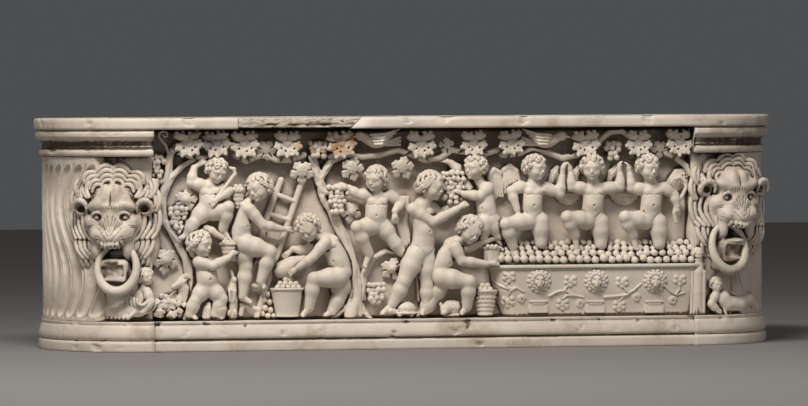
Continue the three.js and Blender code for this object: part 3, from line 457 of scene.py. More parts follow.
def marble(name, light, shade, stain=0.0, grain=1.0, rough=0.55, tints=()):
    """Weathered marble: broad and fine tints, soft patches, some of them painted shade, stains, and a dark
    brown of dirt and painted shade where the vertices' value for both is high.
    """
    material, tree, shader = new_material(name, rough)
    where = node(tree, "ShaderNodeTexCoord").outputs["Object"]
    colour = mixed(tree, ramp(tree, cloud(tree, where, 4.5, 4), 0.38, 0.66), light, shade)
    fine = ramp(tree, cloud(tree, where, 42, 5), 0.35, 0.75)
    colour = mixed(tree, product(tree, fine, 0.28), colour, WARM)
    cool = ramp(tree, cloud(tree, where, 7.3, 3), 0.56, 0.72)
    colour = mixed(tree, product(tree, cool, 0.35), colour, COOL)
    # Soft patches: stains and tints, and on the lions painted shade.
    for middle, reach, tint, strength in tints:
        near = nearness(tree, where, tuple(at(middle)), reach)
        patchy = product(tree, ramp(tree, cloud(tree, where, 34, 4), 0.36, 0.60), strength)
        colour = mixed(tree, product(tree, near, patchy), colour, tint)
    if stain:
        brown = product(tree, ramp(tree, cloud(tree, where, 9, 6, 0.7), 0.5, 0.68), stain)
        colour = mixed(tree, brown, colour, BROWN)
    # Painted shade with dirt: dark brown where the per-vertex value is high, in hollows and grooves where
    # shade falls.
    dirt_and_shade = node(tree, "ShaderNodeAttribute", attribute_name="dirt_and_shade").outputs["Fac"]
    breaks = product(tree, ramp(tree, cloud(tree, where, 60, 4), 0.2, 0.7), 0.55, "ADD")
    colour = mixed(tree, ramp(tree, product(tree, dirt_and_shade, breaks), 0.10, 0.62), colour, DIRT_AND_SHADE_COLOUR)
    tree.links.new(colour, shader.inputs["Base Color"])
    bump = node(tree, "ShaderNodeBump")
    sockets = [bump.inputs[name] for name in ("Strength", "Distance", "Height")]
    feed(tree, sockets, (0.35 * grain, BUMP_HEIGHT, cloud(tree, where, 160, 5, 0.65)))
    tree.links.new(bump.outputs["Normal"], shader.inputs["Normal"])
    return material


def plain(name, colour, rough):
    material, _, shader = new_material(name, rough)
    shader.inputs["Base Color"].default_value = (*colour, 1)
    return material


# Soft patches: the middle in pixels, the reach in metres, the colour and the strength. The lions' patches are
# painted shade: over the left lion's mane, and in the open mouths within the rings.
LION_TINTS_AND_SHADE = (
    # Painted shade over the left lion's mane
    ((112, 215, 1.2), (0.125, 0.3, 0.150), (0.44, 0.365, 0.285), 0.75),
    # Painted shade in the open mouths, within the rings
    ((112, 268, 1.0), (0.036, 0.2, 0.032), (0.20, 0.145, 0.10), 1.0),
    ((731, 249, 1.0), (0.040, 0.2, 0.046), (0.20, 0.145, 0.10), 1.0),
)
FRIEZE_PATCHES = (
    ((330, 143, 0.5), (0.125, 0.2, 0.045), (0.42, 0.215, 0.075), 0.85),
    ((196, 145, 0.5), (0.10, 0.2, 0.045), (0.235, 0.215, 0.225), 0.8),
    ((168, 235, 0.3), (0.05, 0.2, 0.20), (0.40, 0.37, 0.365), 0.5),
)
MATERIALS = {
    "marble": marble(
        "trough_marble", (0.745, 0.66, 0.572), (0.64, 0.555, 0.47), stain=0.5, tints=LION_TINTS_AND_SHADE,
    ),
    "carved_marble": marble("carved_marble", (0.81, 0.725, 0.63), (0.70, 0.615, 0.52), tints=FRIEZE_PATCHES),
    "mended_marble": marble(
        "mended_marble", (0.60, 0.535, 0.45), (0.50, 0.44, 0.36), stain=0.7, grain=2.2, rough=0.75,
    ),
    "mortar": plain("mortar", (0.13, 0.125, 0.10), 0.9),
}

# A coarse map of what is solid, for the dirt and the painted shade that lie in the hollows
MAP_CELL = 0.004
MAP_LOW = np.array([-HALF_LENGTH - 0.04, -FRONT_REACH - 0.05, -0.02])
MAP_HIGH = np.array([HALF_LENGTH + 0.04, BACK_REACH + 0.04, TOP + 0.03])
MAP_SIZE = np.ceil((MAP_HIGH - MAP_LOW) / MAP_CELL).astype(int)
solid_map = np.zeros(MAP_SIZE, np.float32)
pieces = []


def dress(piece, node_name, slot):
    pieces.append(piece)
    mesh = piece.data
    mesh.polygons.foreach_set("use_smooth", np.ones(len(mesh.polygons), bool))
    mesh.materials.clear()
    mesh.materials.append(MATERIALS[slot])
    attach(piece, "root")
    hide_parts(node_name)


def fill_map(points, cell):
    """Adds small cubes of stone to the map."""
    spots = ((points - MAP_LOW) / MAP_CELL).astype(int)
    spots = spots[((spots >= 0) & (spots < MAP_SIZE)).all(1)]
    flat = np.ravel_multi_index(spots.T, MAP_SIZE)
    solid_map.ravel()[:] += np.bincount(flat, minlength=solid_map.size) * (cell / MAP_CELL) ** 3


def finish_piece(name, node_name, clay, slot="carved_marble", placed=lambda points: points):
    """Skins the clay, thins the mesh and dresses it as the visual piece of one node."""
    points, quads = clay.skin()
    fill_map(placed(clay.solid_points()), clay.cell)
    dress(thinned(mesh_object(name, placed(points), quads)), node_name, slot)


def fill_trough_map():
    x, y, z = (MAP_LOW[i] + MAP_CELL * (np.arange(MAP_SIZE[i]) + 0.5) for i in range(3))
    x, y, z = np.abs(x)[:, None, None], y[None, :, None], z[None, None, :]
    beyond = np.maximum(x - STRAIGHT, 0)

    def inside(inset, low, high, recess=0.0):
        """What lies within the plan, that far inside the rim's outline, between two levels."""
        reach = np.where(y < 0, FRONT_REACH - inset, BACK_REACH)
        level = (beyond / (END_REACH - inset)) ** 2 + (y / reach) ** 2 < 1
        return level & ((x > STRAIGHT) | (y > -(FRONT_REACH - inset - recess))) & (z > low) & (z < high)

    stone = inside(WALL_INSET, 0, TOP, PANEL_INSET - WALL_INSET)
    stone |= inside(0.016, 0, LEDGE)
    stone |= inside(0.002, RIM_FOOT, TOP)
    stone |= inside(0.012, CORNICE_FOOT, RIM_FOOT) & (x > STRAIGHT)
    stone |= inside(0.033, LEDGE, CORNICE_FOOT) & (x > STRAIGHT) & (y > -0.2)
    solid_map[stone] = 1


def box_blur(field, reach):
    for axis in range(3):
        padding = [(reach + 1, reach) if i == axis else (0, 0) for i in range(3)]
        total = np.cumsum(np.pad(field, padding, "edge"), axis)
        wide = 2 * reach + 1
        take = [slice(None)] * 3
        drop = [slice(None)] * 3
        take[axis], drop[axis] = slice(wide, None), slice(None, -wide)
        field = (total[tuple(take)] - total[tuple(drop)]) / wide
    return field


def grooves(mesh, points, normals):
    """How far each vertex lies in a fine groove: its neighbours stand above it."""
    count = len(points)
    edges = np.empty(len(mesh.edges) * 2, np.int32)
    mesh.edges.foreach_get("vertices", edges)
    a, b = edges.reshape(-1, 2).T
    step = points[b] - points[a]
    length = np.linalg.norm(step, axis=1) + 1e-9
    rise = np.bincount(a, (step * normals[a]).sum(1) / length, count)
    rise += np.bincount(b, (-step * normals[b]).sum(1) / length, count)
    share = np.maximum(np.bincount(a, minlength=count) + np.bincount(b, minlength=count), 1)
    fine = rise / share
    for _ in range(2):
        fine = 0.5 * fine + 0.5 * (np.bincount(a, fine[b], count) + np.bincount(b, fine[a], count)) / share
    return fine


DIRT_AND_SHADE_REACH = 0.009  # how far before the surface the crowding is looked up
LION_DIRT_AND_SHADE = 0.13
PANEL_SHADE_AND_DIRT = ((0.22, 0.34, 0.45), (0, 0.10, 0.40))  # levels on the panel, and the painted shade and dirt added there, most at the top under the rim


def add_dirt_and_shade():
    """Sets each vertex's dirt and painted shade: more where stone crowds round it, and in fine grooves."""
    fill_trough_map()
    crowd = np.clip(solid_map, 0, 1)
    for _ in range(2):
        crowd = box_blur(crowd, 2)
    for piece in pieces:
        mesh = piece.data
        points, normals = np.empty((2, len(mesh.vertices) * 3), np.float32)
        mesh.vertices.foreach_get("co", points)
        mesh.vertices.foreach_get("normal", normals)
        points, normals = points.reshape(-1, 3), normals.reshape(-1, 3)
        ahead = ((points + normals * DIRT_AND_SHADE_REACH - MAP_LOW) / MAP_CELL).astype(int)
        ahead = np.clip(ahead, 0, MAP_SIZE - 1)
        deep = np.clip((crowd[tuple(ahead.T)] - 0.20) / 0.38, 0, 1)
        # Painted shade with dirt: more where stone crowds round a vertex and in fine grooves, where shade
        # falls.
        dirt_and_shade = deep ** 1.3 + np.clip(grooves(mesh, points, normals) * 3.0 - 0.06, 0, 0.8)
        # Painted shade on the panel, darkest at the top under the rim's overhang, with some dirt.
        if piece.name == "wall_and_chamber":
            panel = (np.abs(points[:, 0]) < STRAIGHT) & (points[:, 1] < PANEL_Y + 0.02)
            panel &= points[:, 2] < RIM_FOOT
            dirt_and_shade = dirt_and_shade + panel * np.interp(points[:, 2], *PANEL_SHADE_AND_DIRT)
        # The lions get more of the dirt and the painted shade everywhere.
        if "lion" in piece.name:
            dirt_and_shade = dirt_and_shade + LION_DIRT_AND_SHADE
        layer = mesh.attributes.new("dirt_and_shade", "FLOAT", "POINT")
        layer.data.foreach_set("value", np.clip(dirt_and_shade, 0, 1).astype(np.float32))


# The trough: closed rings along its plan
LATTICE = np.random.default_rng(7).random((32, 32, 32))
FRONT_STEPS = 240
QUARTER_STEPS = 60
BACK_STEPS = 40
CORNER = 0.001  # how far from a front corner the panel sinks in


def noise(points, size):
    """Soft noise from -1 to 1, as an even lattice of values that are blended."""
    spot = np.asarray(points) / size
    base = np.floor(spot).astype(int)
    part = spot - base
    part = part * part * (3 - 2 * part)
    total = 0.0
    for i in (0, 1):
        for j in (0, 1):
            for k in (0, 1):
                corner = (base + [i, j, k]) % 32
                weight = np.prod(np.where([i, j, k], part, 1 - part), axis=-1)
                total = total + weight * LATTICE[corner[..., 0], corner[..., 1], corner[..., 2]]
    return total * 2 - 1


def plan(front, end, back, recess=0.0):
    """The trough's outline from above, anticlockwise, inside the rim's by the given insets."""
    x = np.linspace(-STRAIGHT, STRAIGHT, FRONT_STEPS + 1)
    x = np.concatenate([[x[0]], [x[0] + CORNER], x[1:-1], [x[-1] - CORNER], [x[-1]]])
    y = np.full(len(x), -(FRONT_REACH - front))
    y[1:-1] += recess
    run = np.stack([x, y], 1)
    reach = END_REACH - end
    turn = np.linspace(-math.pi / 2, 0, QUARTER_STEPS + 1)[1:]
    fore = np.stack([STRAIGHT + reach * np.cos(turn), (FRONT_REACH - front) * np.sin(turn)], 1)
    turn = np.linspace(0, math.pi / 2, QUARTER_STEPS + 1)[1:]
    rear = np.stack([STRAIGHT + reach * np.cos(turn), (BACK_REACH - back) * np.sin(turn)], 1)
    x = np.linspace(STRAIGHT, -STRAIGHT, BACK_STEPS + 1)[1:-1]
    behind = np.stack([x, np.full(len(x), BACK_REACH - back)], 1)
    right = np.concatenate([fore, rear])
    left = right[::-1] * [-1, 1]
    return np.concatenate([run, right, behind, left[:-1]])


def ring(z, front, end=None, back=0.0, recess=0.0):
    flat = plan(front, front if end is None else end, back, recess)
    return np.concatenate([flat, np.full((len(flat), 1), z)], 1)


def rings_object(name, rings):
    """A closed skin through rings, with a flat fan over the first and the last."""
    count = len(rings[0])
    turns = np.arange(count)
    following = (turns + 1) % count
    faces = []
    for i in range(len(rings) - 1):
        low, high = i * count, (i + 1) * count
        faces.append(np.stack([low + turns, low + following, high + following, high + turns], 1))
    points = np.concatenate(rings)
    points = np.concatenate([points, [points[:count].mean(0), points[-count:].mean(0)]])
    first, last = len(points) - 2, (len(rings) - 1) * count
    caps = [
        np.stack([following, turns, np.full(count, first)], 1),
        np.stack([last + turns, last + following, np.full(count, first + 1)], 1),
    ]
    return mesh_object(name, points, np.concatenate(faces), np.concatenate(caps))


def strip_object(name, grid, core, side=1):
    """A closed skin round a strip: the grid holds its edges, from end to end, and the core's ends give the
    middles of its caps. Side -1 mirrors it."""
    rows, steps = grid.shape[:2]
    index = np.arange(rows * steps).reshape(rows, steps)
    following = np.roll(index, -1, axis=0)
    quads = np.stack([index[:, :-1], index[:, 1:], following[:, 1:], following[:, :-1]], -1).reshape(-1, 4)
    first = np.stack([index[:, 0], following[:, 0], np.full(rows, rows * steps)], 1)
    last = np.stack([following[:, -1], index[:, -1], np.full(rows, rows * steps + 1)], 1)
    caps = np.concatenate([first, last])
    points = np.concatenate([grid.reshape(-1, 3), [core[:, 0].mean(0), core[:, -1].mean(0)]])
    if side < 0:
        points = points * [-1, 1, 1]
        quads, caps = quads[:, ::-1], caps[:, ::-1]
    return mesh_object(name, points, quads, caps)


def softened(outline, step, passes):
    """An outline of (inset, z) resampled and with its corners worn round."""
    outline = np.asarray(outline, float)
    made = [outline[0]]
    for a, b in zip(outline, outline[1:]):
        parts = max(1, int(np.ceil(np.linalg.norm(b - a) / step)))
        made += [a + (b - a) * (i + 1) / parts for i in range(parts)]
    made = np.array(made)
    for _ in range(passes):
        made[1:-1] = (made[:-2] + 2 * made[1:-1] + made[2:]) / 4
    return made


def worn(points, amount, size, chips=0.0, chip_size=0.03):
    """Moves points in and out in plan by noise, and breaks chips away."""
    middle = np.zeros_like(points)
    middle[:, 0] = np.clip(points[:, 0], -STRAIGHT, STRAIGHT)
    outward = points - middle
    outward[:, 2] = 0
    outward /= np.linalg.norm(outward, axis=1, keepdims=True) + 1e-9
    move = amount * (noise(points, size) + 0.5 * noise(points + 5, size / 2.7))
    broken = np.maximum(noise(points + 11, chip_size) + 0.4 * noise(points + 3, chip_size / 3) - 0.62, 0)
    return points + outward * (move - chips * np.minimum(broken * 4, 1))[:, None]


# Outlines as (inset, height above the foot)
BASE_PROFILE = (
    (0.0125, 0), (0.0105, 0.002), (0.010, 0.008), (0.010, 0.022), (0.0125, 0.0252), (0.0172, 0.0262),
    (0.0172, 0.0285), (0.0125, 0.031), (0.0102, 0.036), (0.0105, 0.044), (0.0135, 0.055), (0.0165, 0.062),
    (0.0185, 0.0635), (0.0185, 0.066), (0.0172, 0.0665), (0.0172, 0.072),
)
RIM_PROFILE = (
    (0.0045, 0), (0.001, 0.0025), (0.0003, 0.007), (0.0003, 0.019), (0.0018, 0.0245), (0.005, 0.027),
)
CORNICE_PROFILE = (
    (0.0225, 0.0), (0.016, 0.001), (0.0135, 0.006), (0.0135, 0.012), (0.017, 0.017), (0.0215, 0.0185),
    (0.0215, 0.0205), (0.0190, 0.022), (0.0215, 0.026), (0.0195, 0.033), (0.0135, 0.038), (0.0085, 0.0405),
    (0.0075, 0.044), (0.0042, 0.047), (0.0038, 0.054), (0.0052, 0.0595), (0.0100, 0.061), (0.0100, 0.0638),
)
BASE_CHIPS_X = -0.72  # the middle of the base's chipped lower edge


def add_base():
    profile = softened(BASE_PROFILE, 0.0025, 2)
    rings = [worn(ring(z, inset, recess=0.006), 0.0009, 0.05, 0.004) for inset, z in profile]
    for points in rings:
        chips = np.maximum(noise(points * [1, 1, 0.3] + 2, 0.045) - 0.1, 0) * (points[:, 2] < 0.014)
        near = np.exp(-(((points[:, 0] - BASE_CHIPS_X) / 0.07) ** 2))
        points[:, 1] += 0.012 * chips * near
    dress(rings_object("base_course", rings), "base_plinth", "marble")


def add_basin():
    """The wall and the chamber within it."""
    rings = []
    for z in np.linspace(LEDGE, RIM_FOOT, 40):
        rings.append(worn(ring(z, WALL_INSET, recess=PANEL_INSET - WALL_INSET), 0.0012, 0.035))
    front, end, back = CHAMBER_INSETS
    for z in np.linspace(RIM_FOOT, CHAMBER_FLOOR + CHAMBER_ROUND, 12):
        rings.append(worn(ring(z, front, end, back), 0.0015, 0.06))
    for inwards in (0.004, 0.014):
        z = CHAMBER_FLOOR + CHAMBER_ROUND - inwards * 0.8
        rings.append(ring(z, front + inwards, end + inwards, back + inwards))
    dress(rings_object("wall_and_chamber", rings), "trough_basin", "marble")


def rim_rings():
    outer = softened(RIM_PROFILE, 0.002, 1)
    rings = [ring(RIM_FOOT + z, inset) for inset, z in outer]
    for share in (0.1, 0.5, 0.9):
        insets = [inset * share + 0.005 * (1 - share) for inset in CHAMBER_INSETS]
        rings.append(ring(TOP, *insets))
    for z in (TOP - 0.003, (TOP + RIM_FOOT) / 2, RIM_FOOT):
        rings.append(ring(z, *CHAMBER_INSETS))
    return rings


MEND_LEFT, MEND_RIGHT, MEND_SLANT = -0.456, -0.165, 0.026
MEND_GAP = 0.0016
MEND_STEPS = 90
MORTAR_TALL = 0.002


def mend_slant(z):
    """How far the crack at the mend's right leans at a level."""
    return MEND_SLANT * ((z - RIM_FOOT) / (TOP - RIM_FOOT) - 0.8)


def add_mend(run):
    """The mended length of the front rim, rough and set back, with a slanted crack at its right."""
    share = np.linspace(0, 1, MEND_STEPS)
    cuts = []
    for _, y, z in run[:, 0]:
        x = MEND_LEFT + (MEND_RIGHT + mend_slant(z) - MEND_LEFT) * share
        cuts.append(np.stack([x, np.full(MEND_STEPS, y), np.full(MEND_STEPS, z)], 1))
    grid = np.stack(cuts)
    flat = grid.reshape(-1, 3)
    face = (flat[:, 1] + FRONT_REACH) < 0.02
    out = 0.003 * noise(flat, 0.02) + 0.002 * noise(flat * [1, 1, 2], 0.006)
    flat[:, 1] += np.where(face, 0.004 + out, 0)
    low = flat[:, 2] < RIM_FOOT + 0.012
    flat[:, 1] += np.where(face & low, 0.009 * np.maximum(noise(flat + 4, 0.025) + 0.2, 0), 0)
    flat[:, 2] = np.maximum(flat[:, 2], RIM_FOOT + MORTAR_TALL + 0.0015 + 0.0012 * noise(flat, 0.012))
    dress(strip_object("mended_rim", grid, grid), "rim_fragment", "mended_marble")


def add_rim():
    """The mend, and the rest of the rim from its right round the trough to its left."""
    whole = np.stack(rim_rings())
    front = np.arange(FRONT_STEPS + 3)
    run = whole[:, front]
    add_mend(run)
    x = run[0, :, 0]
    right_part = x > MEND_RIGHT + MEND_SLANT + 0.004
    left_part = x < MEND_LEFT - 0.002
    index = np.concatenate([front[right_part], np.arange(FRONT_STEPS + 3, whole.shape[1]), front[left_part]])
    body = whole[:, index]
    start, stop = body[:, :1].copy(), body[:, -1:].copy()
    start[:, 0, 0] = MEND_RIGHT + MEND_GAP + mend_slant(start[:, 0, 2])
    stop[:, 0, 0] = MEND_LEFT - MEND_GAP
    body = np.concatenate([start, body, stop], 1)
    grid = worn(body.reshape(-1, 3), 0.0009, 0.06, 0.0045, 0.035).reshape(body.shape)
    inner = body[..., 2] >= TOP - 0.0001
    grid[inner] = body[inner]
    dress(strip_object("rim", grid, body), "rim_band", "marble")


def add_cornice(side, name, shown):
    """The mouldings under the rim round one end, down to the wall."""
    profile = softened(CORNICE_PROFILE, 0.002, 1)
    outer = [ring(CORNICE_FOOT + z, inset) for inset, z in profile]
    inner = [ring(z, WALL_INSET - SEAM) for z in (RIM_FOOT - 0.0002, CORNICE_FOOT)]
    first = FRONT_STEPS + 2
    body = np.stack(outer + inner)[:, first : first + 2 * QUARTER_STEPS + 1]
    x, y = body[0, :, 0], body[0, :, 1]
    keep = (y < BACK_REACH - 0.034) | (x > STRAIGHT + 0.02)
    keep &= ~((y > 0) & (y > CORNICE_HIGH.y))
    body = body[:, keep]
    grid = worn(body.reshape(-1, 3), 0.0007, 0.04, 0.003, 0.02).reshape(body.shape)
    dress(strip_object(shown, grid, body, side), name, "marble")


FLUTE_FRONT, FLUTE_COUNT, FLUTE_SWAY = 0.170, 13, 0.038
FLUTE_FOOT, FLUTE_TOP = LEDGE + 0.014, CORNICE_FOOT - 0.024
FLUTE_INSET = 0.0205
HOLLOW_DEPTH, RIDGE_GROOVE = 0.0105, 0.0045


def flute_depth(along, z, pitch):
    """How deep the fluting is cut: hollows with round ends, and a groove along each ridge between them."""
    climb = (z - FLUTE_FOOT) / (FLUTE_TOP - FLUTE_FOOT)
    across = (along - FLUTE_FRONT + FLUTE_SWAY * np.sin(2 * math.pi * climb)) / pitch
    off = np.abs(across - np.round(across)) * pitch
    over = np.maximum(np.maximum(z - (FLUTE_TOP - pitch * 0.3), FLUTE_FOOT + pitch * 0.3 - z), 0)
    near = np.hypot(off, over) / (pitch * 0.36)
    hollow = HOLLOW_DEPTH * np.sqrt(np.maximum(1 - near ** 2, 0))
    line = np.abs(np.abs(across - np.round(across)) - 0.5) * pitch
    tall = (z < FLUTE_TOP + 0.006) & (z > FLUTE_FOOT - 0.004)
    return hollow + RIDGE_GROOVE * np.exp(-((line / 0.0021) ** 2)) * tall


def add_flutes(side, name, shown):
    """A fluted facing round one end, whose flutes climb in a wave."""
    turn = np.linspace(-math.pi / 2, math.pi / 2, 600)
    x, y = END_REACH * np.cos(turn), np.where(turn < 0, FRONT_REACH, BACK_REACH) * np.sin(turn)
    walked = np.concatenate([[0], np.cumsum(np.hypot(np.diff(x), np.diff(y)))])
    last = walked[np.searchsorted(y, FLUTES_END)]
    steps = ((420, 120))
    along = np.linspace(FLUTE_FRONT - 0.03, last, steps[0])[:, None]
    z = np.linspace(LEDGE + SEAM, CORNICE_FOOT - SEAM, steps[1])[None, :]
    depth = flute_depth(along, z, (last - FLUTE_FRONT) / FLUTE_COUNT)
    angle = np.interp(along[:, 0], walked, turn)[:, None]

    def wall(inset):
        inset = np.broadcast_to(inset, depth.shape)
        reach = np.where(angle < 0, FRONT_REACH, BACK_REACH) - np.where(angle < 0, 1, 0) * inset
        wx = STRAIGHT + (END_REACH - inset) * np.cos(angle)
        return np.stack([wx, reach * np.sin(angle), np.broadcast_to(z, depth.shape)], -1)

    inwards = np.clip((FLUTE_FRONT - 0.004 - along) / 0.026, 0, 1) ** 2
    outer = wall(np.minimum(FLUTE_INSET + depth + 0.029 * inwards, WALL_INSET - 0.001))
    outer = worn(outer.reshape(-1, 3), 0.0005, 0.05, 0.0012, 0.02)
    inner = wall(WALL_INSET - SEAM).reshape(-1, 3)
    index = np.arange(depth.size).reshape(depth.shape)
    other = index + depth.size
    front = np.stack([index[:-1, :-1], index[1:, :-1], index[1:, 1:], index[:-1, 1:]], -1).reshape(-1, 4)
    back = np.stack([other[:-1, :-1], other[:-1, 1:], other[1:, 1:], other[1:, :-1]], -1).reshape(-1, 4)
    faces = [front, back]
    for a, b, flip in (
        (index[0], other[0], False), (index[-1], other[-1], True),
        (index[:, 0], other[:, 0], True), (index[:, -1], other[:, -1], False),
    ):
        strip = np.stack([a[:-1], a[1:], b[1:], b[:-1]], -1)
        faces.append(strip[:, ::-1] if flip else strip)
    points, quads = np.concatenate([outer, inner]), np.concatenate(faces)
    if side < 0:
        points, quads = points * [-1, 1, 1], quads[:, ::-1]
    dress(mesh_object(shown, points, quads), name, "marble")


add_base()
add_basin()
add_rim()
for side, end_name in zip(SIDES, ("left", "right")):
    add_cornice(side, f"cornice_{end_name}", f"mouldings_{end_name}")
    add_flutes(side, f"fluted_end_{end_name}", f"flutes_{end_name}")


# The relief
class Carving(Clay):
    """Clay for a part of the relief. Places are pixels across and down in the photograph with a share of
    the relief's depth, or points in metres, and sizes are pixels."""

    def __init__(self, points, spare, cell=CELL):
        spots = np.array([at(point) for point in points])
        low, high = spots.min(0) - px(spare), spots.max(0) + px(spare)
        low[1], high[1] = PANEL_Y - RELIEF_DEPTH * 1.05, PANEL_Y + EMBED + 0.003
        super().__init__(low, high, cell)

    @staticmethod
    def point(place):
        return at(place) if isinstance(place, tuple) else place

    def ball(self, place, radii, blend=0.0, axes=None):
        self.press(egg(self.point(place), px(radii), axes), px(blend))

    def dent(self, place, radii, blend, axes=None):
        self.carve(egg(self.point(place), px(radii), axes), px(blend))

    def stick(self, a, b, start, end, blend=0.0):
        self.press(bar(self.point(a), self.point(b), px(start), px(end)), px(blend))

    def rope(self, points, radii, blend=0.0):
        self.chain([self.point(place) for place in points], px(radii), px(blend))

    def facing(self, place):
        """Where the line back into the relief from a place before it meets the stone."""
        return self.meet(self.point(place), np.array([0, 1.0, 0]), px(26))

    def finish(self, name, shown, above=RIM_FOOT - 0.0006, behind=PANEL_Y + EMBED):
        self.trim(behind=behind, below=LEDGE - 0.002, above=above)
        finish_piece(f"{shown}_carved", name, self)


HAIR_DOTS = 64
GOLDEN = math.pi * (3 - math.sqrt(5))
LOCKS = 17
CHEEK_LOCKS = (
    (0.74, 0.42, 0.42), (0.86, 0.24, 0.20), (0.92, 0.06, 0.02), (0.93, -0.16, -0.14),
    (0.88, -0.36, -0.30), (0.80, -0.10, -0.36), (0.66, -0.60, -0.42), (0.86, -0.42, 0.02),
)
UPPER_LID = ((0.10, 0.85, -0.03), (0.26, 0.885, 0.06), (0.42, 0.78, -0.01))
LOWER_LID = ((0.13, 0.84, -0.07), (0.28, 0.85, -0.12), (0.41, 0.78, -0.06))
BROW = ((0.10, 0.86, 0.16), (0.30, 0.86, 0.22), (0.50, 0.72, 0.12))


class Head:
    """A calm child's head on usual proportions. Places on it are given to its side, outwards and up, in
    radii of the skull."""

    def __init__(self, clay, middle, size, yaw, pitch=0, roll=0):
        self.clay, self.middle, self.size = clay, middle, size
        self.axes = turned(yaw, pitch, roll)

    def spot(self, side, out, up):
        return self.middle + self.size * (self.axes @ np.array([side, out, up], float))

    def lump(self, where, radii, blend=0.12):
        self.clay.press(egg(self.spot(*where), np.array(radii) * self.size, self.axes), blend * self.size)

    def cut(self, where, radii, blend=0.06):
        self.clay.carve(egg(self.spot(*where), np.array(radii) * self.size, self.axes), blend * self.size)

    def drill(self, a, b, start, end, blend):
        size = self.size
        self.clay.carve(bar(a, b, start * size, end * size), blend * size)

    def fold(self, side, points, thick, blend=0.05):
        spots = [self.spot(side * across, out, up) for across, out, up in points]
        self.clay.chain(spots, thick * self.size, blend * self.size)

    def add_face(self):
        self.lump((0, -0.08, 0.12), (0.80, 0.92, 0.86))
        self.lump((0, 0.24, -0.28), (0.60, 0.58, 0.66), 0.25)
        self.lump((0, 0.52, 0.26), (0.54, 0.34, 0.42), 0.25)
        for s in SIDES:
            self.lump((s * 0.33, 0.50, -0.36), (0.28, 0.25, 0.27), 0.2)
            self.cut((s * 0.27, 0.93, -0.01), (0.18, 0.14, 0.10), 0.14)
            self.lump((s * 0.265, 0.70, -0.03), (0.155, 0.15, 0.10), 0.03)
            self.fold(s, UPPER_LID, 0.038)
            self.fold(s, LOWER_LID, 0.03)
            self.fold(s, BROW, 0.05, 0.14)
            self.lump((s * 0.09, 0.90, -0.29), (0.075, 0.08, 0.06), 0.05)
            self.cut((s * 0.055, 0.97, -0.345), (0.035, 0.05, 0.03), 0.02)
            self.lump((s * 0.80, -0.04, -0.12), (0.08, 0.17, 0.22), 0.06)
            self.cut((s * 0.88, 0.0, -0.12), (0.05, 0.07, 0.1), 0.03)
        bridge, tip = self.spot(0, 0.80, 0.04), self.spot(0, 0.95, -0.25)
        self.clay.press(bar(bridge, tip, 0.075 * self.size, 0.10 * self.size), 0.10 * self.size)
        self.lump((0, 0.28, -0.64), (0.42, 0.44, 0.28), 0.15)
        self.lump((0, 0.62, -0.80), (0.17, 0.16, 0.14), 0.16)
        self.lump((0, 0.74, -0.50), (0.23, 0.14, 0.15), 0.14)
        for x in (-0.085, 0.085):
            self.lump((x, 0.86, -0.475), (0.11, 0.06, 0.04), 0.03)
        self.lump((0, 0.835, -0.585), (0.14, 0.06, 0.05), 0.03)
        for x in (-0.17, 0.17):
            self.drill(self.spot(x, 0.87, -0.525), self.spot(0, 0.905, -0.53), 0.018, 0.024, 0.02)

    def add_curls(self, local):
        """Drilled curls all over the skull, but for the face and the nape."""
        for i in range(HAIR_DOTS):
            up = 1 - 2 * (i + 0.5) / HAIR_DOTS
            flat = math.sqrt(1 - up * up)
            side, out = flat * math.cos(GOLDEN * i), flat * math.sin(GOLDEN * i)
            if (out > 0.34 and up < 0.52) or up < -0.55 or (up < -0.25 and out > 0.0):
                continue
            curl = (side * 0.88, -0.06 + out * 0.98, 0.12 + up * 0.92)
            self.lump(curl, np.full(3, 0.235) * local.uniform(0.88, 1.1), 0.02)
            way = unit(self.axes @ np.array([side, out, up]))
            outer = self.spot(*curl) + way * 0.235 * self.size
            self.drill(outer + way * 0.05 * self.size, outer - way * 0.20 * self.size, 0.075, 0.05, 0.02)

    def add_waves(self, local):
        """Wavy locks from the crown, with curled ones round the cheeks and the nape."""
        for i in range(LOCKS):
            turn = math.radians(-165 + 330 * i / (LOCKS - 1))
            path = []
            for k in range(9):
                fall = math.radians(14 + 13.5 * k)
                sway = 0.13 * math.sin(k * 1.25 + i * 2.4)
                side, out = math.sin(turn + sway) * math.sin(fall), math.cos(turn + sway) * math.sin(fall)
                up = math.cos(fall)
                if out > 0.30 and up < 0.50 or (out > 0 and up < 0.0) or up < -0.5:
                    break
                path.append(self.spot(side * 0.90, -0.10 + out * 1.0, 0.12 + up * 0.95))
            radii = [0.13 * self.size * (1 + 0.25 * math.sin(k * 2.2 + i)) for k in range(len(path))]
            self.clay.chain(path, radii, 0.015 * self.size)
        for s in SIDES:
            for side, out, up in CHEEK_LOCKS:
                where = self.spot(s * side, out, up)
                self.clay.press(egg(where, 0.19 * self.size * local.uniform(0.85, 1.1)), 0.02 * self.size)
                way = unit(self.axes @ np.array([s * side, out * 0.5 + 0.2, up * 0.3]))
                self.drill(where + way * 0.22 * self.size, where + way * 0.06 * self.size, 0.06, 0.04, 0.02)
        for i in range(7):
            turn = math.radians(-60 + 20 * i + 180)
            self.lump((0.72 * math.sin(turn), 0.92 * math.cos(turn) - 0.05, -0.45), (0.2, 0.2, 0.22), 0.02)

    def add_bun(self):
        self.lump((0, -1.02, -0.18), (0.40, 0.38, 0.42), 0.06)
        for k in range(6):
            turn = math.pi * k / 3
            edge = self.spot(0.34 * math.cos(turn), -0.98, -0.18 + 0.36 * math.sin(turn))
            self.drill(edge, self.spot(0, -1.42, -0.18), 0.035, 0.03, 0.03)


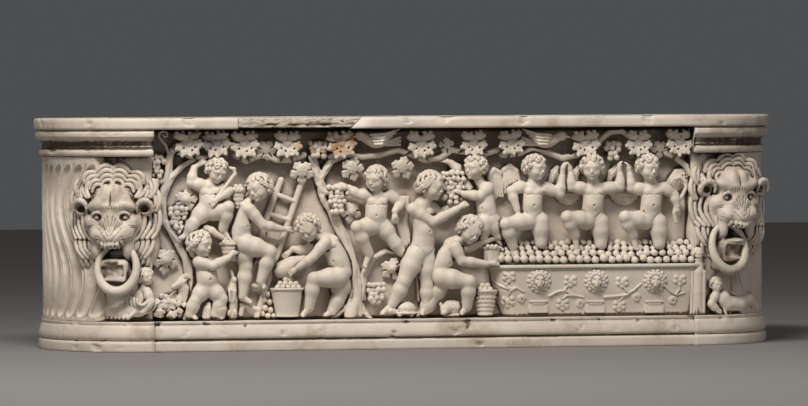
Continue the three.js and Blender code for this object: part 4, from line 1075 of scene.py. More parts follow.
def head(clay, middle, size, angles, hair, seed):
    """A head whose hair is curls, waves or a bun; size is the skull's radius in metres."""
    made = Head(clay, middle, size, *angles)
    local = np.random.default_rng(seed)
    made.add_face()
    if hair == "curls":
        made.add_curls(local)
    else:
        made.add_waves(local)
    if hair == "bun":
        made.add_bun()


def limb(clay, points, radii, swell, blend=2.0):
    """Round limbs through joints, fuller between them."""
    spots = [at(point) for point in points]
    for i in range(len(spots) - 1):
        a, b = spots[i], spots[i + 1]
        full = a + (b - a) * 0.38
        middle = max(radii[i], radii[i + 1]) * swell
        clay.stick(a, full, radii[i], middle, blend * 0.8)
        clay.stick(full, b, middle, radii[i + 1], blend * 0.8)
    return spots


HAND = 3.5
FINGER_CURL = 0.5
PALM_FACING = (0, 0.75, -0.65)


def hand(clay, wrist, palm, facing):
    """A hand whose palm's middle is given; the fingers carry on from the wrist and bend the palm's way."""
    size = px(HAND)
    along = unit(palm - wrist)
    inner = np.asarray(facing, float)
    inner = unit(inner - along * (inner @ along))
    across = np.cross(along, inner)
    clay.stick(wrist, palm, HAND * 0.72, HAND * 0.75, 0.8)
    clay.press(egg(palm, size * np.array([0.95, 0.6, 1.0]), np.stack([across, inner, along], 1)), px(0.8))
    for i in range(4):
        side = (i - 1.5) * 0.48
        root = palm + size * (across * side + along * 0.6)
        knuckle = root + size * 0.75 * unit(along + inner * FINGER_CURL)
        tip = knuckle + size * 0.7 * unit(along * 0.5 + inner * (0.3 + FINGER_CURL))
        clay.rope([root, knuckle, tip], [HAND * 0.29, HAND * 0.27, HAND * 0.22], 0.2)
    root = palm - across * size * 0.55
    thumb = root + size * (along * 0.8 - across * 0.3 + inner * 0.5)
    clay.stick(root, thumb, HAND * 0.32, HAND * 0.24, 0.5)


def foot(clay, ankle, toe, size):
    along = unit(toe - ankle)
    clay.press(egg(ankle + [0, 0, -px(size * 0.2)], px(size) * np.array([0.85, 0.85, 0.95])), px(1.2))
    clay.stick(ankle, toe, size * 0.8, size * 0.62, 1.0)
    across = unit(np.cross(along, [0, 0, 1.0]))
    for i in range(5):
        side = (i - 2) * 0.34
        spot = toe + px(size) * (across * side + along * (0.42 - 0.1 * abs(side)))
        clay.press(egg(spot, px(size) * 0.27), px(0.25))


def torso(clay, middles, wide, yaw, lean):
    """A chubby trunk. Middles and half widths are given for the chest, the belly and the hips."""
    axes = turned(yaw, 0, lean)
    side, out, up = axes.T
    c, b, h = (at(point) for point in middles)
    w = [px(value) for value in wide]
    for i in range(9):
        share = i / 8
        first, third = 2 * (share - 0.5) * (share - 1), 2 * share * (share - 0.5)
        second = 4 * share * (1 - share)
        spot = c * first + b * second + h * third
        size = w[0] * first + w[1] * second + w[2] * third
        clay.press(egg(spot, [size * 0.98, size * (0.70 + 0.12 * second), px(5.5)], axes), px(3) if i else 0)
    clay.press(egg(c + up * w[0] * 0.50, [w[0] * 1.02, w[0] * 0.58, w[0] * 0.46], axes), px(3))
    clay.press(egg(h - up * w[2] * 0.2, [w[2] * 1.0, w[2] * 0.78, w[2] * 0.62], axes), px(3))
    for s in SIDES:
        spot = c + side * s * w[0] * 0.45 + out * w[0] * 0.46 + up * w[0] * 0.06
        clay.press(egg(spot, [w[0] * 0.44, w[0] * 0.27, w[0] * 0.34], axes), px(1.6))
        clay.ball(spot + out * w[0] * 0.25 - up * w[0] * 0.04, 0.6, 0.3)
    round_belly = [w[1] * 0.74, w[1] * 0.64, w[1] * 0.62]
    clay.press(egg(b + out * w[1] * 0.26 - up * w[1] * 0.02, round_belly, axes), px(3))

    def skin_at(spot):
        return clay.meet(spot + out * px(24), -out, px(30))

    def crease(start, ends, radius, blend):
        """A soft line along the skin through points that are given across and up."""
        clay.groove([skin_at(start + side * a + up * u) for a, u in ends], px(radius), px(blend))

    turns = np.linspace(-1, 1, 7)
    under_chest = [(t * w[0] * 0.72, -w[0] * (0.30 - 0.10 * abs(math.sin(t * math.pi)))) for t in turns]
    crease(c, under_chest, 0.02, 1.5)
    for s in SIDES:
        ends = [(s * w[2] * (0.86 - 0.72 * t), w[2] * (0.28 - 0.72 * t)) for t in (0, 0.35, 0.7, 1)]
        crease(h, ends, 0.1, 1.8)
    clay.dent(skin_at(b - up * px(1.2)), [0.9, 1.1, 1.1], 0.8, axes)


FEATHER = 1.9


def wing(clay, edge, drop, count=3, rounded=False, short=True):
    """Long rounded feathers that hang from a wing's leading edge, with short ones over their roots."""
    spots = np.array([at(point) for point in edge])
    lengths = np.concatenate([[0], np.cumsum(np.linalg.norm(np.diff(spots, axis=0), axis=1))])
    clay.rope(spots, 2.8, 0.8)
    count = max(count, int(np.ceil(lengths[-1] / px(FEATHER * 1.5))))
    for i in range(count):
        share = (i + 0.5) / count
        root = np.array([np.interp(share * lengths[-1], lengths, spots[:, k]) for k in range(3)])
        if rounded:
            reach = math.sqrt(max(0.05, 1 - (2 * share - 1) ** 2))
        else:
            reach = 0.55 + 0.45 * math.sin(math.pi * (0.15 + 0.6 * share))
        tip = root + px(1) * np.array([drop[0] * (0.3 + share), 0.0, -drop[1] * reach])
        bow = 0 if rounded else math.copysign(1, drop[0])
        middle = (root + tip) / 2 + [px(0.6) * bow, -px(0.7), 0]
        clay.rope([root, middle, tip], [FEATHER, FEATHER, FEATHER * 0.75], 0.05)
        if short and not rounded:
            for level, size in ((0.42, 1.0), (0.2, 0.85)):
                near = root + (tip - root) * level + [0, -px(1.5 + (0.42 - level) * 4), 0]
                clay.stick(root + [0, -px(0.8), 0], near, FEATHER * size, FEATHER * size, 0.05)


def neck(clay, top, bottom, thick):
    clay.stick(top, bottom, thick, thick * 1.35, 1.6)


GRIP_LEFT, GRIP_RIGHT = (-1, 0.2, 0), (1, 0.2, 0)  # which way a palm faces that holds on to a neighbour

# Figures. Head: a place and the size. Face: how it turns, bows and leans. Trunk: chest, belly and hips.
# Arms run from the shoulder to the palm, and legs from the hip to the toes or to where they are hidden.
FIGURES = {
    "vintager_on_vine": dict(
        head=(217, 171, 0.66, 11.5), face=(18, 22, 8), hair="curls",
        trunk=((210, 192, 0.5), (210, 203, 0.52), (209, 212, 0.46)), wide=(10.5, 9.8, 9.6), yaw=-8,
        arms=(
            ((201, 185, 0.5), (191, 183, 0.5), (194, 168, 0.45), (201, 163, 0.45)),
            ((221, 188, 0.55), (229, 191, 0.66), (219, 198, 0.85), (215, 201, 0.88)),
        ),
        legs=(
            ((204, 211, 0.5), (194, 223, 0.62), (188, 234, 0.5), (181, 238, 0.55)),
            ((214, 212, 0.52), (228, 207, 0.75), (223, 229, 0.55), (228, 237, 0.6)),
        ),
    ),
    "vintager_on_ladder": dict(
        head=(259, 188, 0.68, 13.3), face=(-50, 12, -12), hair="waves",
        trunk=((247, 210, 0.5), (241, 225, 0.5), (242, 239, 0.46)), wide=(10.5, 10, 11.5), yaw=38, lean=3,
        arms=(((249, 209, 0.75), (263, 225, 0.8), (281, 229, 0.7), (288, 229, 0.66)),),
        legs=(
            ((246, 244, 0.62), (270, 252, 0.72), (261, 281, 0.66), (264, 287, 0.72)),
            ((243, 248, 0.4), (246, 266, 0.4), (242, 296, 0.42), (250, 302, 0.5)),
        ),
        thigh=9.2, calf=5.6,
    ),
    "vintager_with_shoulder_basket": dict(
        head=(200, 244, 0.68, 12.5), face=(48, 4, 0), hair="waves",
        trunk=((206, 267, 0.5), (207, 278, 0.54), (208, 288, 0.48)), wide=(9.8, 10, 9.6), yaw=14,
        arms=(
            ((199, 262, 0.7), (213, 266, 0.86), (228, 258, 0.8), (233, 253, 0.75)),
            ((195, 252, 0.3), (194, 236, 0.4), (205, 228, 0.5), (222, 237, 0.55), (229, 241, 0.55)),
        ),
        legs=(
            ((203, 290, 0.5), (195, 301, 0.58), (190, 314, 0.5), (195, 318, 0.6)),
            ((214, 291, 0.5), (222, 299, 0.58), (215, 314, 0.5), (221, 318, 0.6)),
        ),
        thigh=7.4,
    ),
    "vintager_filling_basket": dict(
        head=(308, 228, 0.7, 12.5), face=(-32, 30, -10), hair="curls",
        trunk=((331, 247, 0.5), (338, 260, 0.5), (340, 273, 0.46)), wide=(10.5, 10.5, 11.5),
        yaw=-42, lean=-20,
        arms=(
            ((325, 243, 0.78), (313, 257, 0.86), (299, 267, 0.8), (293, 271, 0.76)),
            ((315, 246, 0.35), (304, 251, 0.3), (293, 249, 0.32), (287, 254, 0.32)),
        ),
        legs=(
            ((338, 277, 0.62), (314, 279, 0.76), (309, 307, 0.66), (303, 315, 0.72)),
            ((341, 284, 0.34), (340, 295, 0.36), (332, 311, 0.4), (326, 315, 0.46)),
        ),
        thigh=9.2, calf=6.0,
    ),
    "vintager_with_grape_basket": dict(
        head=(376, 179, 0.66, 12.2), face=(-40, 6, 4), hair="waves",
        trunk=((377, 202, 0.5), (376, 214, 0.54), (376, 224, 0.48)), wide=(10.8, 10.2, 10.2), yaw=-6,
        arms=(
            ((366, 195, 0.5), (357, 194, 0.5), (349, 188, 0.5), (344, 186, 0.5)),
            ((389, 195, 0.5), (401, 203, 0.5), (395, 211, 0.66), (395, 217, 0.7)),
        ),
        legs=(
            ((371, 227, 0.5), (357, 227, 0.75), (369, 254, 0.52), (365, 266, 0.6)),
            ((383, 227, 0.46), (392, 239, 0.52), (401, 251, 0.48), (405, 256, 0.5)),
        ),
    ),
    "standing_youth": dict(
        head=(431, 186, 0.68, 13.6), face=(52, 10, 2), hair="bun",
        trunk=((421, 213, 0.5), (424, 230, 0.52), (422, 249, 0.5)), wide=(12.3, 11.4, 13.2), yaw=26, lean=2,
        arms=(
            ((413, 209, 0.72), (433, 222, 0.86), (457, 209, 0.8), (463, 205, 0.76)),
            ((430, 207, 0.3), (441, 214, 0.3), (452, 206, 0.4), (458, 203, 0.42)),
        ),
        legs=(
            ((415, 256, 0.56), (404, 281, 0.6), (393, 304, 0.5), (383, 313, 0.56)),
            ((427, 260, 0.42), (428, 285, 0.46), (427, 304, 0.46), (422, 313, 0.56)),
        ),
        thigh=9.8, calf=6.4,
    ),
    "winged_vintager": dict(
        head=(475, 168, 0.58, 11.8), face=(-55, 0, 0), hair="curls",
        trunk=((483, 194, 0.45), (486, 207, 0.46), (487, 219, 0.42)), wide=(9.6, 9.6, 9.8), yaw=-38, lean=-6,
        arms=(
            ((488, 188, 0.6), (480, 196, 0.7), (464, 194, 0.7), (458, 191, 0.66)),
            ((468, 188, 0.35), (461, 172, 0.3), (451, 163, 0.32), (447, 161, 0.32)),
        ),
        legs=(((484, 222, 0.5), (483, 236, 0.4)), ((492, 221, 0.42), (498, 235, 0.38))),
        wings=(
            dict(
                edge=((489, 186, 0.25), (490, 175, 0.28), (494, 170, 0.28), (500, 173, 0.25)), drop=(3, 26),
                count=4, short=False,
            ),
        ),
    ),
    "vintager_with_hand_basket": dict(
        head=(470, 230, 0.7, 13), face=(28, 26, 12), hair="waves",
        trunk=((451, 250, 0.5), (443, 262, 0.5), (440, 274, 0.46)), wide=(10.5, 10.8, 11.5), yaw=36, lean=18,
        arms=(
            ((455, 247, 0.78), (462, 261, 0.86), (486, 264, 0.8), (494, 263, 0.76)),
            ((466, 247, 0.4), (480, 243, 0.36), (493, 238, 0.36), (499, 241, 0.36)),
        ),
        legs=(
            ((441, 277, 0.62), (469, 282, 0.76), (467, 306, 0.66), (462, 313, 0.72)),
            ((439, 284, 0.36), (430, 302, 0.38), (424, 311, 0.42), (417, 315, 0.5)),
        ),
        thigh=9.4, calf=6.2,
    ),
    "treader_left": dict(
        head=(535, 168, 0.66, 12), face=(38, 4, 4), hair="curls",
        trunk=((533, 192, 0.5), (532, 204, 0.52), (532, 214, 0.46)), wide=(10.4, 9.6, 10), yaw=4,
        arms=(
            ((521, 187, 0.5), (511, 191, 0.5), (517, 209, 0.6), (519, 217, 0.62)),
            ((546, 188, 0.5), (560, 194, 0.5), (562, 177, 0.5), (563, 168, 0.5)),
        ),
        facing=(PALM_FACING, GRIP_RIGHT),
        legs=(
            ((528, 221, 0.5), (506, 224, 0.76), (513, 246, 0.52), (513, 257, 0.52)),
            ((540, 221, 0.46), (541, 243, 0.46), (541, 256, 0.46)),
        ),
        wings=(
            dict(
                edge=((519, 184, 0.22), (516, 171, 0.25), (510, 166, 0.25), (504, 170, 0.22)), drop=(-2, 26),
                count=4, short=False,
            ),
            dict(edge=((550, 186, 0.15), (553, 172, 0.15), (557, 168, 0.15)), drop=(1, 14), count=5),
            dict(
                edge=((556, 194, 0.1), (567, 194, 0.1), (579, 194, 0.1)), drop=(0, 10), count=9,
                rounded=True,
            ),
        ),
    ),
    "treader_middle": dict(
        head=(592, 168, 0.66, 12.2), face=(-14, 4, -2), hair="curls",
        trunk=((594, 192, 0.5), (593, 204, 0.52), (592, 214, 0.46)), wide=(10.6, 9.8, 10.2), yaw=-4,
        arms=(
            ((582, 188, 0.5), (571, 187, 0.5), (571, 175, 0.5), (570, 168, 0.5)),
            ((607, 188, 0.5), (620, 187, 0.5), (620, 175, 0.5), (619, 168, 0.5)),
        ),
        facing=(GRIP_LEFT, GRIP_RIGHT),
        legs=(
            ((587, 221, 0.5), (567, 217, 0.76), (575, 235, 0.56), (577, 249, 0.52)),
            ((600, 222, 0.46), (601, 244, 0.46), (601, 256, 0.46)),
        ),
        wings=(
            dict(edge=((576, 184, 0.15), (575, 172, 0.15), (579, 167, 0.15)), drop=(-1, 14), count=5),
            dict(edge=((609, 184, 0.15), (611, 172, 0.15), (616, 167, 0.15)), drop=(1, 14), count=5),
            dict(
                edge=((611, 194, 0.1), (624, 194, 0.1), (637, 194, 0.1)), drop=(0, 10), count=9,
                rounded=True,
            ),
        ),
    ),
    "treader_right": dict(
        head=(648, 168, 0.66, 12.2), face=(24, 4, 4), hair="curls",
        trunk=((652, 192, 0.5), (651, 204, 0.52), (650, 214, 0.46)), wide=(10.4, 9.8, 10.2), yaw=6,
        arms=(
            ((641, 189, 0.5), (631, 188, 0.5), (630, 175, 0.5), (629, 168, 0.5)),
            ((664, 188, 0.5), (674, 195, 0.5), (677, 206, 0.55), (677, 210, 0.56)),
        ),
        facing=(GRIP_LEFT, PALM_FACING),
        legs=(
            ((645, 221, 0.5), (625, 217, 0.76), (633, 235, 0.56), (636, 248, 0.52)),
            ((658, 222, 0.46), (659, 244, 0.46), (659, 256, 0.46)),
        ),
        wings=(dict(edge=((666, 186, 0.18), (676, 172, 0.18), (687, 170, 0.18)), drop=(2, 17)),),
    ),
}
CROOKS = {
    "vintager_on_vine": (
        (215, 201, 0.9), (225, 187, 0.8), (231, 179, 0.75), (235, 174, 0.75), (234, 169, 0.75),
        (230, 168, 0.75),
    ),
    "treader_left": ((519, 219, 0.62), (508, 226, 0.5), (502, 224, 0.45), (503, 218, 0.45)),
    "treader_right": (
        (676, 222, 0.5), (674, 213, 0.55), (676, 204, 0.55),
        (682, 196, 0.5), (686, 188, 0.5), (685, 181, 0.5),
        (680, 177, 0.5), (675, 179, 0.5),
    ),
}


def add_leg(clay, leg, thigh, calf):
    radii = (thigh, thigh * 0.71, calf * 0.84)
    joints = limb(clay, leg[: max(2, len(leg) - 1)], radii, 1.04, 2.4)
    clay.ball(joints[0], thigh * 0.92, 4)
    if len(leg) > 2:
        knee = joints[1]
        clay.ball(knee + [0, -px(thigh * 0.16), px(0.4)], thigh * 0.50, 3.5)
    if len(leg) > 3:
        clay.ball(knee + (joints[2] - knee) * 0.42, calf * 0.92, 4)
        foot(clay, joints[2] + [0, 0, -px(0.8)], at(leg[3]), calf * 0.70)


def add_arm(clay, arm, facing):
    radii = (5.2, 4.5, 3.4) if len(arm) < 5 else (5.0, 4.4, 4.0, 3.2)
    joints = limb(clay, arm[:-1], radii, 1.08, 2.2)
    clay.ball(joints[0], 5.4, 4)
    hand(clay, joints[-1], at(arm[-1]), facing)


def add_figure(name, spec):
    size, shoulders = spec["head"][3], spec["wide"][0]
    wings, crook = spec.get("wings", ()), CROOKS.get(name, ())
    everything = [spec["head"], *spec["trunk"], *crook]
    for points in (*spec["arms"], *spec["legs"], *(one["edge"] for one in wings)):
        everything += points
    clay = Carving(everything, 16, FIGURE_CELL)
    for one in wings:
        wing(clay, **one)
    torso(clay, spec["trunk"], spec["wide"], spec["yaw"], spec.get("lean", 0))
    middle = at(spec["head"])
    top = at(spec["trunk"][0]) + [0, 0, px(shoulders * 0.6)]
    neck(clay, middle + [0, px(size * 0.25), -px(size * 0.45)], top, shoulders * 0.46)
    for leg in spec["legs"]:
        add_leg(clay, leg, spec.get("thigh", 8.2), spec.get("calf", 5.9))
    for arm, facing in zip(spec["arms"], spec.get("facing", (PALM_FACING, PALM_FACING))):
        add_arm(clay, arm, facing)
    if crook:
        clay.rope(crook, [2.2] + [1.9] * (len(crook) - 2) + [1.5], 0.5)
    head(clay, middle, px(size * 0.98), spec["face"], spec["hair"], len(name))
    clay.finish(name, name)


for figure_name, figure in FIGURES.items():
    add_figure(figure_name, figure)

# Lions, in a frame of their own in millimetres: across, up from the mane's middle, and out from the wall
LION_X = {-1: STRAIGHT + 0.083, 1: STRAIGHT + 0.098}
LION_Y = -0.2353
LION_LEVELS = {-1: RIM_FOOT - 0.195, 1: RIM_FOOT - 0.178}
LION_TURN = 20
LION_BACK = 0.112
FACE_LIFT = {-1: 2, 1: 20}
FOREHEAD = {-1: 31, 1: 25}
JAW_ACROSS = {-1: -5, 1: -13}
RING_ACROSS = {-1: -13, 1: -26}
MANE_OUT, MANE_WIDE, MANE_TALL, MANE_DEEP = -20, 97, 116, 56
TUFTS = ((101, 20), (79, 20), (127, 19), (53, 19))  # the way each grows, in degrees, and its half width
# Locks at the temples: where a group starts and ends, and how many it has
TEMPLE_LOCKS = (((66, 70), (60, 34), 2), ((82, 74), (83, 34), 3), ((97, 48), (97, 2), 2))
# Hanging tiers: the first lock's place, their count and pitch, their top, length, swing and hook
TIERS = ((57, 5, 11.5, 6, 70, 8, 10), (55, 4, 11.5, -58, 52, 6, 14), (58, 3, 11.5, -102, 36, 2, 10))
# Furrows round the muzzle: half width, top and foot
FURROWS = ((7, -13, -42), (14, -18, -51), (20.5, -24, -61), (27, -40, -76))
NOSE_SLOPE = math.radians(17)


class Lion:
    """One corner's lion. Its clay is worked from the back forwards, and rise lifts what comes next."""

    def __init__(self, side):
        self.side, self.rise = side, 0
        self.clay = Clay((-0.135, -0.12, -0.21), (0.135, 0.125, 0.14), LION_CELL)
        self.fore = None

    def spot(self, across, up, out):
        return np.array([self.side * across, -out, up + self.rise]) / 1000

    def sized(self, across, up, out, radii, tilt):
        wide, tall, deep = radii
        axes = turned(0, 0, self.side * tilt)
        return egg(self.spot(across, up, out), np.array([wide, deep, tall]) / 1000, axes)

    def lump(self, across, up, out, radii, blend=4.0, tilt=0.0):
        self.clay.press(self.sized(across, up, out, radii, tilt), blend / 1000)

    def cut(self, across, up, out, radii, blend=2.0):
        self.clay.carve(self.sized(across, up, out, radii, 0), blend / 1000)

    def block(self, across, up, out, halves, edge, axes=None):
        return slab(self.spot(across, up, out), np.array(halves), axes, edge)

    def sweep(self, points, radii, blend=4.0):
        spots = [self.spot(*point) for point in points]
        self.clay.chain(spots, [radius / 1000 for radius in radii], blend / 1000)

    def look(self):
        """Takes the stone's front, for what then lies along it."""
        self.fore = self.clay.front()

    def height(self, across, up):
        fore, clay = self.fore, self.clay
        i = (self.side * across / 1000 - clay.low[0]) / clay.cell
        k = ((up + self.rise) / 1000 - clay.low[2]) / clay.cell
        i, k = min(max(i, 0), fore.shape[0] - 2), min(max(k, 0), fore.shape[1] - 2)
        a, b = int(i), int(k)
        i, k = i - a, k - b
        near = fore[a, b] * (1 - i) * (1 - k) + fore[a + 1, b] * i * (1 - k)
        return 1000 * (near + fore[a, b + 1] * (1 - i) * k + fore[a + 1, b + 1] * i * k)

    def skin_groove(self, ends, radii, blend=0.001):
        """A cut along the stone's front, through points that are given across and up."""
        self.clay.groove([self.spot(a, u, self.height(a, u)) for a, u in ends], radii, blend)

    def strand(self, path, radius, lifts):
        """A lock of hair that lies along the stone behind it."""
        last = len(path) - 1
        points, radii = [], []
        for i, (a, u) in enumerate(path):
            behind = max(self.height(a, u), -14 if a > 0 else -1)
            points.append((a, u, behind + np.interp(i, [0, last], lifts)))
            radii.append(radius * (0.7 + 0.3 * math.sin(math.pi * (0.12 + 0.76 * i / last))))
        self.sweep(points, radii, 0.4)

    def add_mane(self):
        """The mane's mass, tufts of nested arcs over the brow, and hanging tiers at the sides."""
        self.lump(0, 0, MANE_OUT, (MANE_WIDE, MANE_TALL, MANE_DEEP))
        self.lump(62, -10, -56, (44, 88, 70), 12)
        for s in SIDES:
            self.lump(s * 72, -78, -16, (32, 60, 32), 14)
        root = np.array([0, 4])
        for turn, half in TUFTS:
            a, u = root + np.array([math.cos(math.radians(turn)), math.sin(math.radians(turn))]) * 86
            across, up = a / MANE_WIDE, u / MANE_TALL
            out = MANE_OUT + MANE_DEEP * math.sqrt(max(0.02, 1 - across ** 2 - up ** 2))
            self.lump(a, u, out - 3, (half * 1.15, 30, 10), 8, 90 - turn)
        self.look()
        for turn, half in TUFTS:
            way = np.array([math.cos(math.radians(turn)), math.sin(math.radians(turn))])
            over = np.array([way[1], -way[0]])
            for k in range(4):
                wide = half * (0.72 + 0.10 * k)
                path = []
                for t in np.linspace(-1, 1, 9):
                    path.append(root + way * (72 + 12 * k - 0.55 * wide * t * t) + over * wide * t)
                self.strand(path, 5.9, (1.4, 1.4))
        for s in SIDES:
            self.add_side_locks(s)

    def add_side_locks(self, s):
        shares = np.linspace(0, 1, 8)
        for (a, u), (b, v), count in TEMPLE_LOCKS:
            way = unit([b - a, v - u])
            for i in range(count):
                beside = (i - (count - 1) / 2) * 11
                path = []
                for share in shares:
                    shift = beside * (1 - 0.5 * share ** 2) + 7 * math.sin(math.pi * share)
                    across = a + (b - a) * share - way[1] * shift
                    path.append((s * across, u + (v - u) * share + way[0] * shift))
                self.strand(path, 6.4, (1.5, 8))
        for first, count, pitch, top, length, swing, hook in TIERS:
            for i in range(count):
                path = []
                for share in shares:
                    a = first + pitch * i + swing * math.sin(math.pi * share) - hook * share ** 2.5
                    path.append((s * a, top - length * share + 1.5 * i * (1 - share)))
                self.strand(path, 5.8, (2, 8.5))

    def add_masses(self):
        """The face's cheeks, muzzle, nose and brows."""
        tall = FOREHEAD[self.side]
        self.lump(0, -14, 24, (53, 74, 36), 1.5)
        for s in SIDES:
            self.lump(s * 50, -28, 32, (18, 19, 18), 13)
            self.lump(s * 30, -56, 44, (23, 22, 26), 15)
            self.lump(s * 38, -90, 24, (16, 30, 28), 14)
        self.lump(0, -20, 44, (20, 30, 16), 8)
        flat = np.array([1.0, 0, 0])
        uphill = np.array([0, math.sin(NOSE_SLOPE), math.cos(NOSE_SLOPE)])
        outward = [0, -math.cos(NOSE_SLOPE), math.sin(NOSE_SLOPE)]
        lozenge = np.stack([unit(flat + uphill), outward, unit(uphill - flat)], axis=1)
        self.clay.press(self.block(0, -28, 50, (0.0215, 0.014, 0.0215), 0.008, lozenge), 0.005)
        self.lump(0, -63, 60, (26, 20, 18), 10)
        self.lump(0, tall - 1, 31, (43, tall + 3, 26), 8)
        for s in SIDES:
            self.lump(s * 13, tall + 2, 45, (14, tall, 15), 5)
            self.lump(s * 14, 9, 52, (17, 10, 12), 8)
            self.lump(s * 35, 15, 41, (25, 14, 20), 11, s * self.side * -20)

    def add_eye(self, s):
        self.cut(s * 34, -15, 58, (12.5, 10.5, 15), 2)
        self.lump(s * 34, -15, 43, (8.6, 8.6, 9), 0.3)
        lid = []
        for turn in np.linspace(0, math.pi, 7):
            rise = math.sin(turn)
            lid.append((s * (33 - 13 * math.cos(turn)), -12 + 8.5 * rise, 51 + 3 * rise))
        self.sweep(lid, [2.2, 2.8, 3.2, 3.4, 3.2, 2.8, 2.2], 2.5)
        self.cut(s * 33, -14.5, 53.5, (1.7, 1.9, 2.4), 0.5)

    def add_ear(self, s):
        """A thick curved rim over a dark hollow."""
        self.lump(s * 79, 4, 20, (19, 17, 13), 5)
        edge = []
        for turn in np.linspace(-0.35, math.pi + 0.2, 9):
            run, rise = math.cos(turn), math.sin(turn)
            edge.append((s * (79 - 18 * run), 4 + 21 * rise, 36 + 4 * run + 5 * rise))
        self.sweep(edge, [3.5, 4.6, 5.6, 6.4, 6.8, 6.4, 5.8, 5, 4], 2)
        self.cut(s * 77, 4, 36, (13, 10.5, 17), 2)
        self.cut(s * 70, -6, 44, (10, 6, 12), 3)

    def add_grooves(self):
        """Frown lines, the muzzle's furrows, the nose's ridge and the lines of the whiskers."""
        self.look()
        for s in SIDES:
            for a in (3.5, 9.5, 16, 23):
                self.skin_groove([(s * a, 3), (s * (a + 1.5), 11)], (0.0017, 0.0010))
        for wide, top, foot_up in FURROWS:
            path = []
            for turn in np.linspace(0, math.pi, 15):
                fall = 1 - abs(math.cos(turn)) ** 1.5
                path.append((wide * math.cos(turn), top - (top - foot_up) * fall))
            self.skin_groove(path, 0.0015)
        self.skin_groove([(0, -8), (0, -40)], 0.0010)
        for s in SIDES:
            for k in range(3):
                up = -62 - 6 * k
                self.skin_groove([(s * (29 + 2 * k), up), (s * 50, up + 7 - 2 * k)], 0.0011)
            for k in range(2):
                self.skin_groove([(s * (42 + 3 * k), -34 - 5 * k), (s * 60, -38 - 4 * k)], 0.0010)

    def add_lip(self):
        """The fringe of curls over the mouth."""
        for k in range(-3, 4):
            a = 9.0 * k
            down = -83 + 0.013 * a * a - 1.5 * math.sin(k * 1.9 + self.side)
            out = 73 - 0.018 * a * a
            curl = 3.2 if k > 0 else -3.2
            path = [(a * 0.9, down + 8, out - 4), (a, down, out - 1), (a + curl, down - 7, out - 6)]
            self.sweep(path, [4.6, 5.4, 3.4], 3)
        for k in range(-3, 3):
            bow = (9 * k) ** 2
            self.cut(9 * k + 4.5, -88 + 0.013 * bow, 76 - 0.018 * bow, (1.3, 6, 4), 1)

    def add_jaw(self):
        """The open mouth, and the jaw within the ring."""
        hang = JAW_ACROSS[self.side]
        self.clay.carve(self.block(0, -107, 50, (0.025, 0.045, 0.016), 0.006), 0.002)
        self.clay.press(self.block(hang, -146, 16, (0.035, 0.036, 0.030), 0.012), 0.005)
        self.clay.press(self.block(hang, -166, 0, (0.040, 0.030, 0.026), 0.012), 0.006)
        lips = self.block(hang + 3, -145, 54, (0.028, 0.010, 0.014), 0.005, turned(0, 0, self.side * 4))
        self.clay.carve(lips, 0.002)
        self.clay.press(egg(self.spot(0, -121, 40), [0.020, 0.020, 0.007]), 0.004)

    def ring_clay(self):
        """The ring that hangs from the mouth, thicker at its foot."""
        loop = Clay((-0.10, -0.09, -0.22), (0.10, -0.01, -0.04), LION_CELL)
        around = np.linspace(0, 2 * math.pi, 41)
        path = []
        for turn in around:
            across = RING_ACROSS[self.side] + 47 * math.sin(turn)
            path.append(self.spot(across, -136 - 56 * math.cos(turn), 44 + 12 * math.cos(turn)))
        loop.chain(path, 0.0093 + 0.0028 * np.cos(around), 0)
        return loop


def add_lion(side, hand_name):
    def placed(points):
        """From the lion's frame to the trough's."""
        facing = turned(side * LION_TURN) * [1, -1, 1]
        return points @ facing.T + [side * LION_X[side], LION_Y, LION_LEVELS[side]]

    lion = Lion(side)
    lion.add_mane()
    lion.rise = FACE_LIFT[side]
    lion.add_masses()
    for s in SIDES:
        lion.add_eye(s)
        lion.add_ear(s)
    lion.cut(0, FOREHEAD[side] + 8, 62, (2.0, FOREHEAD[side], 8), 1.5)
    lion.add_grooves()
    lion.add_lip()
    lion.add_jaw()
    lion.clay.trim(behind=LION_BACK)
    for part, clay in (("head", lion.clay), ("ring", lion.ring_clay())):
        name = f"lion_{part}_{hand_name}"
        finish_piece(f"{name}_carved", name, clay, "marble", placed)


for side, hand_name in zip(SIDES, ("left", "right")):
    add_lion(side, hand_name)

# Fruit and leaves
GRAPE = 2.9
BUNCH_TAPER = 0.65


def bunch(clay, top, drop, half, seed):
    """Grapes in staggered rows that narrow downwards and bulge forwards."""
    local = np.random.default_rng(seed)
    x, y, share = top
    rows = max(2, int(round(drop / (GRAPE * 1.55))))
    clay.ball((x, y + drop * 0.42, share - 0.12), [half * 0.8, half * 0.55, drop * 0.5])
    for r in range(rows):
        down = (r + 0.4) / rows
        wide = half * (1 - BUNCH_TAPER * down ** 1.3)
        count = max(1, int(round(2 * wide / (GRAPE * 1.65))) + (r % 2))
        for i in range(count):
            across = (i - (count - 1) / 2) * GRAPE * 1.72
            bulge = math.sqrt(max(0, 1 - (across / (wide + GRAPE)) ** 2))
            spot = at((x + across, y + down * drop, share + (bulge * 0.17 - 0.06)))
            spot = spot + local.uniform(-1, 1, 3) * px([1.0, 1.6, 0.9])
            clay.ball(spot, GRAPE * local.uniform(0.92, 1.16))


# Lobes: the way each grows from straight down, in degrees, its reach, its half width and its length
OPEN_LOBES = (
    (0, 0.62, 0.40, 0.52), (66, 0.56, 0.46, 0.44), (-66, 0.56, 0.46, 0.44),
    (136, 0.46, 0.42, 0.38), (-136, 0.46, 0.42, 0.38),
)
FOLDED_LOBES = (
    (0, 0.50, 0.27, 0.40), (39, 0.56, 0.26, 0.40), (-39, 0.56, 0.26, 0.40),
    (80, 0.60, 0.25, 0.34), (-80, 0.60, 0.25, 0.34),
)


